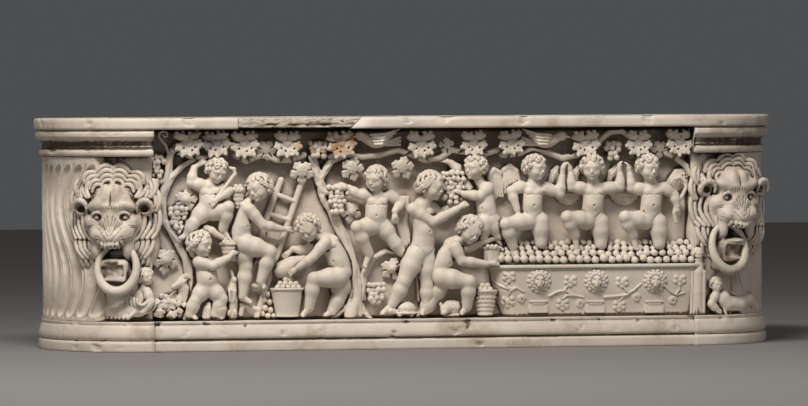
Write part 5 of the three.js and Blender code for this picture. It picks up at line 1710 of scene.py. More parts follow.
def leaf(clay, middle, size, angles, seed):
    """A vine leaf of five broad lobes, each with a groove, and drilled holes where they meet."""
    axes = turned(*angles)
    side, out, up = axes.T
    spot, wide = at(middle), px(size)
    local = np.random.default_rng(seed)

    def knob(where, radii, blend, turned_axes=axes):
        clay.press(egg(where, wide * np.array(radii), turned_axes), px(blend))

    def growth(turn):
        return side * math.sin(math.radians(turn)) - up * math.cos(math.radians(turn))

    knob(spot, (0.62, 0.20, 0.60), 0)
    for turn, reach, half, length in OPEN_LOBES:
        turn = math.radians(turn + local.uniform(-6, 6))
        way = side * math.sin(turn) - up * math.cos(turn)
        over = side * math.cos(turn) + up * math.sin(turn)
        lobe = spot + way * wide * reach - out * wide * 0.10
        knob(lobe, (half, 0.15, length), 0.5, np.stack([over, out, way], 1))
        for s in SIDES:
            knob(lobe + way * wide * length * 0.35 + over * s * wide * half * 0.62, (0.16, 0.13, 0.18), 0.3)
        knob(lobe + way * wide * length * 0.80, (0.17, 0.12, 0.18), 0.4)
    for turn, *_ in OPEN_LOBES:
        way = growth(turn)
        ends = [clay.meet(spot + way * wide * far + out * px(12), -out, px(24)) for far in (0.15, 0.55, 0.85)]
        clay.groove(ends, (px(0.28), px(0.22)), px(0.4))
    for turn in (32, -32, 97, -97):
        way = growth(turn)
        hole = spot + way * wide * 0.52
        clay.groove([hole + out * px(6), hole - out * px(4)], (px(1.0), px(0.8)), px(0.3))
        notch = spot + way * wide * 0.86
        notch_axes = np.stack([np.cross(way, out), out, way], 1)
        clay.carve(egg(notch, wide * np.array([0.065, 0.5, 0.30]), notch_axes), px(0.5))


BUNCHES = {
    "grape_bunch_lion": ((156, 156, 0.2), 32, 7),
    "grape_bunch_left_vine": ((179, 207, 0.22), 28, 9),
    "grape_bunch_ladder": ((318, 142, 0.4), 16, 10),
    "ring_basket": ((337, 186, 0.5), 28, 10),
    "grape_bunch_centre_vine": ((376, 284, 0.4), 21, 9),
    "grape_bunch_youth": ((453, 172, 0.5), 33, 11.5),
    "grape_bunch_right": ((613, 142, 0.35), 19, 7),
}


def add_bunch(number, name, top, drop, half):
    x, y, share = top
    clay = Carving([(x, y - 2, share), (x, y + drop, share)], half + 5)
    bunch(clay, top, drop, half, number)
    clay.finish(name, name)


for number, (bunch_name, bunch_shape) in enumerate(BUNCHES.items()):
    add_bunch(number, bunch_name, *bunch_shape)


def folded_leaf(clay, x, y, size, tilt, seed):
    """A leaf folded forwards: two curled lobes above the fold, and five that spread and hang below it."""
    local = np.random.default_rng(seed)
    upright = turned(0, 0, tilt)
    side, out, up = upright.T
    middle, wide = at((x, y, 0.5)), px(size)

    def spot(across, down, forward=0.0):
        return middle + wide * (side * across - up * down + out * forward)

    def knob(where, radii, blend=0.5, axes=upright):
        clay.press(egg(where, wide * np.array(radii), axes), px(blend))

    def dent(where, radii, axes=None):
        clay.carve(egg(where, wide * np.array(radii), axes), px(0.5))

    clay.press(bar(spot(0, -0.1), at((x, y, -0.1)), wide * 0.4, wide * 0.4))
    knob(spot(0, -0.18), (0.52, 0.34, 0.32))
    for s in SIDES:
        curl = spot(s * local.uniform(0.36, 0.46), local.uniform(-0.60, -0.48), 0.16)
        grown = local.uniform(0.9, 1.1)
        knob(curl, (0.40 * grown, 0.40, 0.31 * grown), 0.6)
        for turn in (-95, -35, 25, 80):
            turn = math.radians(s * (turn + local.uniform(-12, 12)))
            knob(curl + wide * 0.34 * (side * math.sin(turn) + up * math.cos(turn)), (0.17, 0.22, 0.16), 0.35)
        hollow = spot(s * local.uniform(0.2, 0.5), local.uniform(-0.42, -0.30), 0.56)
        dent(hollow, (0.26, 0.14, 0.10), turned(0, 0, tilt - 24 * s))
    dent(spot(local.uniform(-0.1, 0.1), -0.86), (0.10, 0.6, 0.24))
    dent(spot(0, -0.25, 0.46), (0.80, 0.18, 0.06), upright)
    root = spot(0, -0.04, 0.14)
    veins = []
    for turn, reach, half, length in FOLDED_LOBES:
        turn, grown = math.radians(turn + local.uniform(-7, 7)), local.uniform(0.88, 1.14)
        over = side * math.cos(turn) + up * math.sin(turn)
        way = unit(side * math.sin(turn) - up * math.cos(turn) + out * 0.28)
        lobe = root + way * wide * reach
        knob(lobe, (half * grown, 0.18, length * grown), 0.5, np.stack([over, np.cross(way, over), way], 1))
        knob(lobe + way * wide * length * grown * 0.9, (0.13, 0.13, 0.15), 0.4)
        for s in SIDES:
            knob(lobe + wide * (way * length * 0.4 + over * s * half * 0.85), (0.13, 0.13, 0.15), 0.4)
        veins.append([root + way * wide * far for far in (0.2, 0.55, 0.85)])
    for line in veins:
        ends = [clay.meet(point + out * px(10), -out, px(20)) for point in line]
        clay.groove(ends, (px(0.32), px(0.26)), px(0.4))
    for turn in (19, -19, 59, -59):
        turn = math.radians(turn + local.uniform(-4, 4))
        way = side * math.sin(turn) - up * math.cos(turn)
        if abs(turn) > 0.5 or (turn > 0) == (seed % 2 == 0):
            hole = middle + way * wide * local.uniform(0.40, 0.50)
            clay.groove([hole + out * px(9), hole - out * px(2)], (px(1.1), px(0.9)), px(0.3))
        dent(middle + way * wide * 0.94, (0.08, 0.7, 0.26), np.stack([np.cross(way, out), out, way], 1))


# Garlands: the stem's places, and the leaves' places and sizes
GARLANDS = {
    "garland_left": dict(
        stem=(
            (172, 150, 0.3), (190, 156, 0.3), (206, 158, 0.3),
            (222, 152, 0.34), (230, 148, 0.36), (236, 156, 0.36),
            (246, 161, 0.38), (256, 157, 0.38), (266, 155, 0.38),
            (276, 160, 0.36), (290, 160, 0.34), (304, 155, 0.34),
        ),
        leaves=(
            (188, 146, 15), (216, 146, 15), (244, 147, 15), (287, 147, 15), (302, 171, 12), (266, 149, 10),
        ),
    ),
    "garland_centre": dict(
        stem=(
            (330, 156, 0.3), (345, 154, 0.34), (362, 157, 0.36),
            (380, 155, 0.36), (398, 150, 0.36), (410, 154, 0.36),
            (424, 160, 0.36), (440, 158, 0.36), (452, 150, 0.36),
            (466, 152, 0.36), (480, 156, 0.34), (497, 150, 0.34),
        ),
        leaves=(
            (341, 147, 15), (421, 147, 15), (473, 146, 14), (352, 168, 12), (402, 167, 12), (447, 145, 8),
        ),
    ),
    "garland_right": dict(
        stem=(
            (502, 155, 0.32), (518, 154, 0.36), (532, 149, 0.38),
            (546, 152, 0.38), (562, 158, 0.38), (578, 155, 0.38),
            (592, 149, 0.38), (600, 140, 0.38), (610, 132, 0.38),
            (622, 131, 0.38), (632, 138, 0.36), (646, 146, 0.36),
            (660, 152, 0.38), (674, 156, 0.38), (686, 166, 0.36), (690, 174, 0.34),
        ),
        leaves=((511, 145, 14), (585, 146, 15), (638, 146, 14), (679, 145, 15), (660, 148, 9)),
    ),
}


def add_garland(number, name, stem, leaves):
    clay = Carving([*stem, *((x, y, 0.5) for x, y, _ in leaves)], 17)
    clay.rope(stem, 2.9, 0.5)
    for a, b in zip(stem, stem[1:]):
        a, b = (at(point) + [0, -px(2.4), px(0.9)] for point in (a, b))
        clay.stick(a, b, 0.9, 0.9, 0.2)
    for i, (x, y, size) in enumerate(leaves):
        if y < 155 and size > 12:
            folded_leaf(clay, x, y - 2, size, (i * 37 + number * 17) % 17 - 8, i + 9 * number)
        else:
            clay.stick((x, y, 0.3), (x, y, -0.1), size * 0.4, size * 0.4)
            leaf(clay, (x, y, 0.5), size, (0, 14, (i * 53 + number * 31) % 60 - 30), i)
    clay.finish(name, name)


for number, (garland_name, garland) in enumerate(GARLANDS.items()):
    add_garland(number, garland_name, **garland)


def trunk(clay, path):
    """A vine's stem with strands that wind round it; each place has a radius too."""
    spots = np.array([at(point) for point in path])
    sizes = np.array([px(point[3]) for point in path])
    clay.chain(spots, sizes * 0.74, px(0.6))
    lengths = np.concatenate([[0], np.cumsum(np.linalg.norm(np.diff(spots, axis=0), axis=1))])
    steps = max(8, int(lengths[-1] / px(3)))
    for strand in range(3):
        line, radii = [], []
        for i in range(steps + 1):
            share = i / steps * lengths[-1]
            middle = np.array([np.interp(share, lengths, spots[:, k]) for k in range(3)])
            size = np.interp(share, lengths, sizes)
            turn = 2 * math.pi * (strand / 3 + 1.1 * i / steps)
            line.append(middle + [math.cos(turn) * size * 0.50, -abs(math.sin(turn)) * size * 0.5, 0])
            radii.append(size * 0.56)
        clay.chain(line, radii, px(0.25))


VINES = {
    "left_vine": dict(
        stems=(
            (
                (187, 319, 0.2, 6.2), (191, 302, 0.2, 5.2), (192, 286, 0.18, 5), (187, 262, 0.16, 4.8),
                (178, 242, 0.16, 4.6), (165, 222, 0.16, 4.4),
            ),
            (
                (164, 222, 0.16, 4), (162, 200, 0.16, 4), (168, 172, 0.16, 4), (170, 156, 0.2, 3.6),
                (175, 146, 0.25, 2.8), (180, 143, 0.3, 2),
            ),
            ((165, 192, 0.16, 3.6), (171, 178, 0.16, 3.5), (181, 167, 0.2, 3.4), (193, 160, 0.2, 3.2)),
            ((176, 228, 0.14, 3.2), (181, 244, 0.2, 3.4), (189, 264, 0.22, 3.4), (193, 284, 0.2, 3.4)),
        ),
        leaves=((186, 199, 0.3, 12), (166, 260, 0.3, 13)),
        tendril=(
            (168, 152, 0.3), (166, 146, 0.34), (162, 141, 0.34), (159, 137, 0.34), (159.5, 133, 0.34),
            (163, 131, 0.34), (167, 132.5, 0.34), (167.5, 136, 0.34), (164.5, 137.5, 0.34), (163, 135, 0.34),
        ),
    ),
    "centre_vine": dict(
        stems=(
            (
                (352, 316, 0.2, 11), (355, 290, 0.22, 7), (353, 268, 0.2, 6.4), (345, 240, 0.16, 5.8),
                (332, 212, 0.16, 5.2), (325, 200, 0.16, 5),
            ),
            ((352, 300, 0.2, 6), (342, 310, 0.24, 5), (331, 319, 0.26, 4)),
            ((355, 300, 0.2, 6), (362, 311, 0.24, 4.6), (369, 319, 0.26, 3.6)),
            ((325, 200, 0.16, 5), (319, 180, 0.16, 4.8), (312, 157, 0.18, 4.2)),
            ((319, 180, 0.16, 4.2), (331, 161, 0.18, 4), (345, 156, 0.2, 3.6)),
            (
                (362, 298, 0.2, 4.6), (363, 275, 0.2, 4), (372, 259, 0.2, 3.8), (385, 251, 0.2, 3.6),
                (398, 252, 0.2, 3.4),
            ),
        ),
        leaves=((392, 268, 0.3, 12), (351, 211, 0.3, 11)),
    ),
}


def add_vine(name, stems, leaves, tendril=()):
    clay = Carving([point for stem in stems for point in stem], 15)
    for stem in stems:
        trunk(clay, stem)
    for i, (x, y, share, size) in enumerate(leaves):
        clay.stick((x, y, share - 0.05), (x, y, -0.1), size * 0.45, size * 0.45)
        leaf(clay, (x, y, share), size, ((i * 23) % 30 - 15, 12, (i * 31) % 50 - 25), i)
    clay.rope(tendril, [1.5 - 0.06 * i for i in range(len(tendril))], 0.2)
    clay.finish(name, name)


for vine_name, vine in VINES.items():
    add_vine(vine_name, **vine)

RAILS = (
    ((307, 171, 0.24), (300, 187, 0.22), (285, 232, 0.22), (270, 275, 0.24), (257, 316, 0.3)),
    ((281, 180, 0.16), (268, 214, 0.16), (254, 262, 0.16), (240, 314, 0.25)),
)
RUNGS = (
    ((278, 195, 0.2), (294, 201, 0.26)), ((270, 214, 0.2), (289, 220, 0.26)),
    ((261, 237, 0.2), (281, 243, 0.26)), ((254, 260, 0.2), (274, 264, 0.26)),
    ((246, 284, 0.24), (266, 289, 0.3)), ((241, 304, 0.28), (259, 310, 0.34)),
)


def add_ladder():
    clay = Carving([point for rail in RAILS for point in rail], 6)
    for rail in RAILS:
        clay.rope(rail, 3.1, 0.4)
    for a, b in RUNGS:
        clay.stick(a, b, 2.5, 2.5, 0.3)
    clay.finish("ladder", "ladder")


add_ladder()

# Baskets: the middle, foot and top in the picture, the share, the half widths at the foot and the top, how
# the side is woven, the grapes' size, and the rows of their heap
BASKETS = {
    "back_basket": (238, 209, 191, 0.55, 4, 8.2, "bands", 2.3, 2),
    "shoulder_basket": (230, 261, 244, 0.5, 6, 9.5, "bands", 2.3, 2),
    "large_basket": (288, 317, 289, 0.45, 11.5, 17, "smooth", 2.9, 4),
    "hand_basket": (492, 264, 248, 0.55, 7.6, 8.2, "smooth", 2.3, 1),
    "wicker_basket": (485, 316, 291, 0.45, 6.5, 11.5, "wicker", 2.9, 2),
}
BASKET_DEEP = 0.72  # of its width
LEVEL_HOOP = np.array([[1.0, 0, 0], [0, 0, -1.0], [0, 1.0, 0]])
HANGING_GRAPES = ((502, 250), (504, 255), (501, 259), (505, 260), (503, 264), (507, 264))
SPILT_GRAPES = (
    (268, 294), (264, 300), (270, 302), (265, 308), (271, 310), (262, 314), (268, 316), (274, 316),
)


def squashed(shape, middle_y):
    """A shape made shallower from front to back."""
    low, high, distance = shape
    return low, high, lambda x, y, z: distance(x, middle_y + (y - middle_y) / BASKET_DEEP, z) * 0.85


def add_basket(name, x, foot_y, top_y, share, foot_half, top_half, weave, grape, rows):
    room = 30 if name == "large_basket" else 8
    clay = Carving([(x, foot_y, share), (x, top_y - room, share)], top_half + 7)
    low, high = at((x, foot_y, share)), at((x, top_y, share))
    tall = high[2] - low[2]
    clay.press(squashed(cone(low, high, px(foot_half), px(top_half)), low[1]))

    def band(spot, half, thick):
        clay.press(hoop(spot, (px(half), px(half * BASKET_DEEP)), px(thick), LEVEL_HOOP), px(0.3))

    band(high, top_half, 1.3)
    band(low + [0, 0, px(1)], foot_half, 0.9)
    if weave == "bands":
        for level in (0.25, 0.5, 0.75):
            band(low + [0, 0, tall * level], foot_half + (top_half - foot_half) * level, 0.55)
    if weave == "wicker":
        for r in range(6):
            level = (r + 0.5) / 6
            half = px(foot_half + (top_half - foot_half) * level)
            for k in range(9):
                turn = math.pi * (k + 0.5 * (r % 2) + 0.25) / 9
                spot = low + [math.cos(turn) * half, -math.sin(turn) * half * BASKET_DEEP, tall * level]
                clay.ball(spot, [1.5, 0.8, 1.3], 0.2)
    for r in range(rows):
        count = max(1, int(top_half * (0.86 - r * 0.22) * 2 / (grape * 1.75)))
        for behind in (0, 1):
            for i in range(count):
                across = (i - (count - 1) / 2) * grape * 1.8
                forward = share + 0.20 - 0.16 * behind - 0.05 * r
                clay.ball((x + across, top_y - 1.5 - r * grape * 1.35, forward), grape)
    if name == "hand_basket":
        for across, down in HANGING_GRAPES:
            clay.ball((across, down, 0.5), 2.2)
    if name == "large_basket":
        clay.rope([(303, 259, 0.3), (292, 264, 0.36), (282, 270, 0.42)], [5, 7.5, 8.5], 1)
        for across, down in SPILT_GRAPES:
            clay.ball((across, down, 0.35), 3.1)
    clay.finish(name, name)


for basket_name, basket in BASKETS.items():
    add_basket(basket_name, *basket)

# The treading vat: a tub with round ends. Rows: its left and right edges, the level, and how far it reaches
VAT_ROWS = ((503, 699, 316, 0.50), (494, 703, 291, 0.70), (491, 704, 273, 0.78), (489, 706, 266, 0.82))
levels = [at((600, row[2], row[3]))[2] for row in VAT_ROWS]
lefts = [at((row[0], row[2], 0.2))[0] for row in VAT_ROWS]
rights = [at((row[1], row[2], 0.2))[0] for row in VAT_ROWS]
reaches = [row[3] * RELIEF_DEPTH for row in VAT_ROWS]
VAT_TOP = levels[-1]
VAT_REACH = reaches[-1] + px(0.6)
VAT_MASKS = ((539, 281), (596, 281), (655, 281))
VAT_STEMS = (
    ((495, 280.3), (501.3, 286), (507.6, 288.7), (516, 287.6), (523.8, 291.8)),
    ((509, 288.7), (506.5, 285), (509, 281.7)),
    ((514.7, 288.4), (510.5, 291), (509.2, 294.6)),
    ((549.7, 296), (556.8, 291.8), (564.5, 290.4), (573.6, 295), (583.4, 297.1)),
    ((564.5, 290.4), (566, 287.5), (567.8, 285)),
    ((574, 295.3), (567, 295.2), (563.5, 299)),
    ((604.5, 297.1), (614.3, 296.4), (625.5, 295), (633.9, 290.1), (640.9, 283.8)),
    ((629, 293), (626, 290), (623.4, 287)),
    ((628, 294), (623, 296.5), (620.5, 300.5)),
    ((664.1, 285.2), (670.4, 291.5), (676.7, 295), (684.4, 292.6)),
    ((676, 294), (679.5, 289.5), (679.5, 284)),
)
VAT_SCROLLS = ((521.7, 299.2, 0.2), (580.6, 304, 0.3), (636.7, 297.8, 0.3), (673.2, 300.6, 0.3))
VAT_LEAVES = (
    (509, 276.5), (509, 301), (570.1, 280.6), (563.1, 304), (622, 281.7), (619.9, 305.5), (679.5, 279.5),
)


def vat_front(x, z):
    """The vat's face: its y at a place, from the middle of its depth."""
    left, right, reach = (np.interp(z, levels, values) for values in (lefts, rights, reaches))
    middle = np.clip(x, left + reach, right - reach)
    return PANEL_Y - math.sqrt(max(reach ** 2 - (x - middle) ** 2, 1e-8))


def vat_body(shrink):
    def distance(x, y, z):
        level = np.clip(z, levels[0], VAT_TOP)
        left, right, reach = (np.interp(level, levels, values) for values in (lefts, rights, reaches))
        reach = reach - shrink
        middle = np.clip(x, left + reach + shrink, right - reach - shrink)
        side = np.sqrt((x - middle) ** 2 + (y - PANEL_Y) ** 2) - reach
        return np.maximum(side, np.maximum(z - VAT_TOP, levels[0] - 0.006 - z)) * 0.95

    low = np.array([min(lefts), -0.31, levels[0] - 0.01])
    return low, np.array([max(rights), -0.2, VAT_TOP + 0.01]), distance


def on_vat(x, y, proud=0.0):
    spot = at((x, y, 0.7))
    spot[1] = vat_front(spot[0], spot[2]) - px(proud)
    return spot


def vat_rim():
    """Places along the vat's rim from left to right, and the way it runs at each."""
    start, stop = lefts[-1] + VAT_REACH, rights[-1] - VAT_REACH
    quarter = math.pi * VAT_REACH / 2
    for along in np.arange(0, 2 * quarter + (stop - start), px(2.5)):
        middle, turn = start + along - quarter, 0.0
        if along < quarter:
            middle, turn = start, along / VAT_REACH - math.pi / 2
        elif along >= quarter + stop - start:
            middle, turn = stop, (along - quarter - (stop - start)) / VAT_REACH
        x, y = middle + VAT_REACH * math.sin(turn), PANEL_Y - VAT_REACH * math.cos(turn)
        yield np.array([x, y, VAT_TOP]), np.array([math.cos(turn), math.sin(turn), 0.0])


def add_cords(clay):
    """The vat's corded rim: a roll with short slanted strands."""
    cords = list(vat_rim())
    clay.rope([spot for spot, _ in cords], 1.7)
    for spot, way in cords:
        out = np.array([way[1], -way[0], 0.0])
        tip = unit(way * 0.8 + np.array([0, 0, 1.0]))
        middle = spot + out * px(0.5)
        clay.stick(middle - tip * px(1.3), middle + tip * px(1.3), 1.15, 1.15, 0.15)


def add_mask(clay, x, y):
    """A small mask within a ring of curls, on a pedestal."""
    for turn in np.linspace(0, 2 * math.pi, 15)[:-1]:
        clay.ball(on_vat(x + 9.8 * math.cos(turn), y + 9.8 * math.sin(turn), 0.3), [2.2, 1.7, 2.2], 0.3)
        inner = on_vat(x + 7.0 * math.cos(turn + 0.2), y + 7.4 * math.sin(turn + 0.2), 1.4)
        clay.ball(inner, [2.0, 1.8, 2.0], 0.3)
    clay.ball(on_vat(x, y, 1.6), [5, 3.6, 6], 0.6)
    clay.ball(on_vat(x, y + 4, 4), [2.9, 2.6, 2.6], 0.8)
    clay.stick(on_vat(x, y - 2.5, 4.4), on_vat(x, y + 2.5, 5.6), 1.1, 1.4, 0.5)
    for s in SIDES:
        clay.ball(on_vat(x + s * 2.4, y - 3, 4.2), [1.7, 1.0, 0.9], 0.4)
        clay.dent(on_vat(x + s * 2.4, y - 1.2, 5.1), 0.85, 0.3)
        clay.ball(on_vat(x + s * 3.0, y + 1.5, 3.6), 1.8, 0.6)
    clay.dent(on_vat(x, y + 6.6, 5.2), [1.9, 1.6, 0.9], 0.4)
    for down, proud, halves, edge, blend in (
        (309, -0.2, (10, 1.6, 4.6), 1.3, 0.4), (303.4, -0.6, (7, 1.6, 1.6), 0.6, 0.8),
        (301.6, 0.3, (8.8, 1.3, 0.8), 0.5, 0.3),
    ):
        clay.press(slab(on_vat(x, down, proud), px(halves), edge=px(edge)), px(blend))


def add_vat_leaf(clay, x, y):
    clay.ball(on_vat(x, y, 0.2), [3.4, 1.2, 3.6], 0.4)
    for turn in (90, 25, 155, -35, 215):
        turn = math.radians(turn)
        clay.ball(on_vat(x + 4.4 * math.cos(turn), y + 4.4 * math.sin(turn), 0.2), [2.5, 1.3, 2.5], 0.4)
    for turn in (60, 120, -5, 185, 270):
        turn = math.radians(turn)
        clay.dent(on_vat(x + 2.9 * math.cos(turn), y + 2.9 * math.sin(turn), 1.2), [0.55, 1.2, 0.55], 0.2)


def add_vat():
    clay = Carving([(488, 316, 0.5), (706, 260, 0.5)], 5)
    clay.press(vat_body(0.0))
    low, high, within = vat_body(px(3.2))
    clay.carve((low, high, lambda x, y, z: np.maximum(within(x, y, z), VAT_TOP - px(3.5) - z)), px(0.4))
    add_cords(clay)
    for x, y in VAT_MASKS:
        add_mask(clay, x, y)
    for stem in VAT_STEMS:
        clay.rope([on_vat(x, y, 0.3) for x, y in stem], np.linspace(1.35, 0.85, len(stem)), 0.4)
    for x, y, begin in VAT_SCROLLS:
        path = []
        for i in range(13):
            turn = begin + 3.3 * math.pi * i / 12
            size = 4.2 * (1 - 0.7 * i / 12)
            path.append(on_vat(x + size * math.cos(turn), y - size * math.sin(turn), 0.3))
        clay.rope(path, np.linspace(0.8, 1.2, 13), 0.2)
    for x, y in VAT_LEAVES:
        add_vat_leaf(clay, x, y)
    clay.finish("treading_vat", "vat")


def add_vat_grapes():
    clay = Carving([(497, 262, 0.5), (700, 236, 0.5)], 6)
    clay.stick((510, 262, 0.3), (690, 261, 0.3), 7, 7)
    local = np.random.default_rng(5)
    for y, share, grape in ((243, 0.22, 3.6), (248.5, 0.36, 3.8), (254, 0.5, 4.0), (259.5, 0.62, 4.1)):
        for x in np.arange(498 + 4 * share, 702, grape * 1.93):
            spot = (x + local.uniform(-0.6, 0.6), y + local.uniform(-1.2, 1.2), share)
            clay.ball(spot, grape * local.uniform(0.93, 1.05))
    clay.finish("vat_grapes", "vat_grapes")


add_vat()
add_vat_grapes()


# The smaller carvings
def add_jar():
    """A jar with a neck, and a second one beside it."""
    clay = Carving([(207, 318, 0.5), (222, 300, 0.5)], 10)
    body = ((220, 317, 0.5), (220, 309, 0.52), (220, 303, 0.5), (220, 300, 0.5))
    clay.rope(body, [5, 6.8, 4.6, 5], 1.5)
    clay.rope(((207, 317, 0.42), (208, 309, 0.42), (209, 304, 0.42)), [5, 4.8, 3.4], 1)
    clay.finish("storage_jar", "jar")


def add_hare():
    clay = Carving([(232, 316, 0.4), (231, 270, 0.4)], 10)
    body = ((232, 316, 0.38), (232, 300, 0.4), (232, 290, 0.42), (233, 283, 0.42))
    clay.rope(body, [5, 5.4, 5, 3.6], 1.2)
    clay.ball((234, 280, 0.46), [3.2, 3.6, 3.4], 1)
    clay.rope(((233, 277, 0.42), (231, 271, 0.4)), [1.8, 1.5], 0.4)
    for s in SIDES:
        clay.stick((232 + s * 2.6, 291, 0.62), (232 + s * 2, 301, 0.6), 1.8, 1.5, 0.4)
        clay.ball((232 + s * 3.2, 313, 0.55), [2.2, 3.0, 3.4], 0.6)
    clay.finish("upright_hare", "hare")


def add_tortoise():
    clay = Carving([(385, 316, 0.5), (418, 300, 0.5)], 8)
    clay.ball((406, 309, 0.5), [9.6, 8, 7.4])
    clay.ball((406, 313, 0.5), [12, 9.5, 2.4], 0.4)
    for i in range(7):
        ends = ((398 + 2.7 * i, 315.5, 1.0), (399.5 + 2.2 * i, 309, 1.1))
        clay.groove([clay.facing(end) for end in ends], px(0.3), px(0.4))
    clay.rope(((397, 312, 0.55), (391, 311, 0.62)), [3, 3.2], 0.8)
    for x in (400, 411):
        clay.ball((x, 315, 0.66), 2.6, 0.6)
    clay.finish("tortoise", "tortoise")


def add_sleeper():
    """An animal that lies curled up asleep."""
    clay = Carving([(432, 316, 0.4), (464, 298, 0.4)], 8)
    clay.ball((452, 308, 0.42), [11.5, 8, 8])
    clay.ball((446, 309, 0.62), [6, 5, 5.2], 1.2)
    clay.ball((444, 313, 0.78), [3.4, 3.2, 2.6], 1.2)
    clay.stick((458, 315, 0.6), (446, 316, 0.62), 2.2, 1.9, 0.8)
    for s in SIDES:
        clay.ball((446 + s * 5.2, 304.5, 0.62), [1.6, 1.3, 2.4], 0.5)
        clay.dent((445.5 + s * 2.5, 308.5, 0.92), [0.9, 1.2, 0.8], 0.4)
    for k in range(4):
        ends = ((453 + 2.2 * k, 303, 1.0), (454 + 2.4 * k, 311, 1.0))
        clay.groove([clay.facing(end) for end in ends], px(0.35), px(0.5))
    clay.finish("sleeping_animal", "sleeper")


BOULDERS = (
    (160, 311, 0.18, 8), (170, 305, 0.2, 8), (178, 312, 0.2, 7), (165, 299, 0.12, 6), (176, 298, 0.16, 7),
    (154, 313, 0.1, 6),
)


def add_goat():
    """A goat that looks over a heap of rocks."""
    clay = Carving([(150, 318, 0.4), (188, 276, 0.4)], 8)
    for x, y, share, size in BOULDERS:
        halves, axes = px(size) * np.array([0.9, 0.7, 0.75]), turned(x * 7, 10, x * 11)
        clay.press(slab(at((x, y, share)), halves, axes, px(size * 0.45)), px(1.5))
    local = np.random.default_rng(11)
    for _ in range(26):
        x, y, size = local.uniform(155, 184), local.uniform(295, 316), local.uniform(2.6, 4.6)
        axes = turned(local.uniform(-40, 40), local.uniform(-30, 30), local.uniform(-50, 50))
        middle = at((x, y, local.uniform(0.3, 0.42)))
        clay.press(slab(middle, px(size) * np.array([0.9, 0.8, 0.7]), axes, px(size * 0.3)), px(0.6))
    clay.rope(((184, 299, 0.25), (184, 289, 0.34), (181, 282, 0.42)), [6.4, 5.2, 4.6], 1)
    clay.stick((180, 283, 0.46), (173, 287, 0.54), 4.0, 2.4, 1)
    clay.dent((179, 281, 0.66), 0.9, 0.4)
    clay.ball((185, 281, 0.56), [1.4, 1.2, 3], 0.4, turned(0, 0, 40))
    for s in (0, 3):
        clay.rope(((180 + s, 278, 0.42), (184 + s, 275, 0.42), (187 + s, 278, 0.4)), 1.3, 0.3)
    clay.finish("goat_on_rocks", "goat")


def add_post_figure():
    clay = Carving([(697, 318, 0.6), (698, 244, 0.6)], 12)
    body = ((697, 317, 0.5), (697, 292, 0.56), (698, 272, 0.58), (698, 262, 0.56))
    clay.rope(body, [7.4, 6.6, 6.2, 5], 1)
    head(clay, at((698, 254, 0.64)), px(5.8), (20, 5, 0), "waves", 3)
    for k in range(5):
        a, b = (at(end) + [0, -px(1.5), 0] for end in ((692 + 3 * k, 272, 0.66), (691 + 3 * k, 316, 0.62)))
        clay.stick(a, b, 1.7, 1.9, 0.4)
    clay.finish("post_figure", "post")


CLOAK = ((404, 198, 0.15), (402, 222, 0.16), (407, 245, 0.16), (421, 268, 0.14), (423, 300, 0.14))


def add_cloak():
    clay = Carving([(404, 196, 0.15), (423, 302, 0.15)], 12)
    for shift in (-3.4, 0, 3.4):
        clay.rope([(x + shift, y, share) for x, y, share in CLOAK], 2.6, 0.4)
    clay.finish("cloak", "cloak")


def add_bird(name, flip, x0, y0):
    """A perched bird that looks left, or right where flip is -1."""
    clay = Carving([(x0 - 24, y0 - 8, 0.5), (x0 + 24, y0 + 8, 0.5)], 5)

    def spot(across, down, share):
        return (x0 + across * flip, y0 + down, share)

    clay.ball(spot(0, 0, 0.56), [11, 7, 6.8], 0, turned(0, 0, -8 * flip))
    clay.rope((spot(-9, -1, 0.62), spot(-15, -4, 0.66)), [5, 4], 1.2)
    clay.ball(spot(-18, -5, 0.7), 4.6, 1)
    clay.stick(spot(-21, -5, 0.72), spot(-26, -3.5, 0.72), 1.6, 0.8, 0.4)
    for k in range(4):
        start, stop = (-7 + 1.2 * k, -6 + 3.1 * k), (21 - 3.4 * k, -12 + 3.6 * k)
        bent = ((start[0] + stop[0]) / 2, (start[1] + stop[1]) / 2 + 2.2)
        clay.rope((spot(*start, 0.84), spot(*bent, 0.92), spot(*stop, 0.7)), [1.3, 1.5, 1.0], 0.05)
    for k in range(3):
        clay.stick(spot(8, 0.8 + 1.6 * k, 0.56), spot(22, -3.4 + 3.5 * k, 0.56), 1.3, 1.35, 0.05)
    clay.finish(name, name)


def corner_clay(points):
    """Clay that reaches back round the trough's corner."""
    clay = Carving(points, 12)
    clay.low[1] = -0.32
    clay.field = np.full((clay.field.shape[0], int(0.26 / clay.cell), clay.field.shape[2]), FAR, np.float32)
    return clay


# The two that recline at the corners, wrapped in cloth
def add_recliner_left():
    clay = corner_clay([(97, 318, 0.0), (156, 268, 0.7)])
    clay.ball((142, 299, 0.5), [9.5, 7, 11], 0, turned(10, 0, 20))
    legs = ((138, 309, 0.55), (124, 313, 0.3), (110, 311, -0.1), (101, 312, -0.4))
    clay.rope(legs, [8.5, 7.5, 6, 4.5], 2)
    limb(clay, ((147, 291, 0.75), (151, 302, 0.85), (143, 312, 0.85)), (4.4, 3.8, 3.2), 1.05)
    for k in range(6):
        clay.stick((148 - 3 * k, 301 + k, 0.8 - 0.1 * k), (128 - 4 * k, 318, 0.75 - 0.16 * k), 1.9, 2.1, 0.5)
    for k in range(4):
        reach = 5 + 3.2 * k
        path = []
        for turn in np.linspace(0.2, 3.5, 8):
            across, down = 142 + reach * math.cos(turn), 301 + reach * 0.85 * math.sin(turn)
            path.append((across, down, 0.98 - 0.13 * k))
        clay.rope(path, 1.5, 0.5)
    neck(clay, (146, 280, 0.66), (144, 291, 0.55), 3.6)
    head(clay, at((146, 277, 0.7)), px(8.2), (25, -6, -8), "waves", 4)
    clay.finish("reclining_figure_left", "recliner_left", above=RIM_FOOT, behind=None)


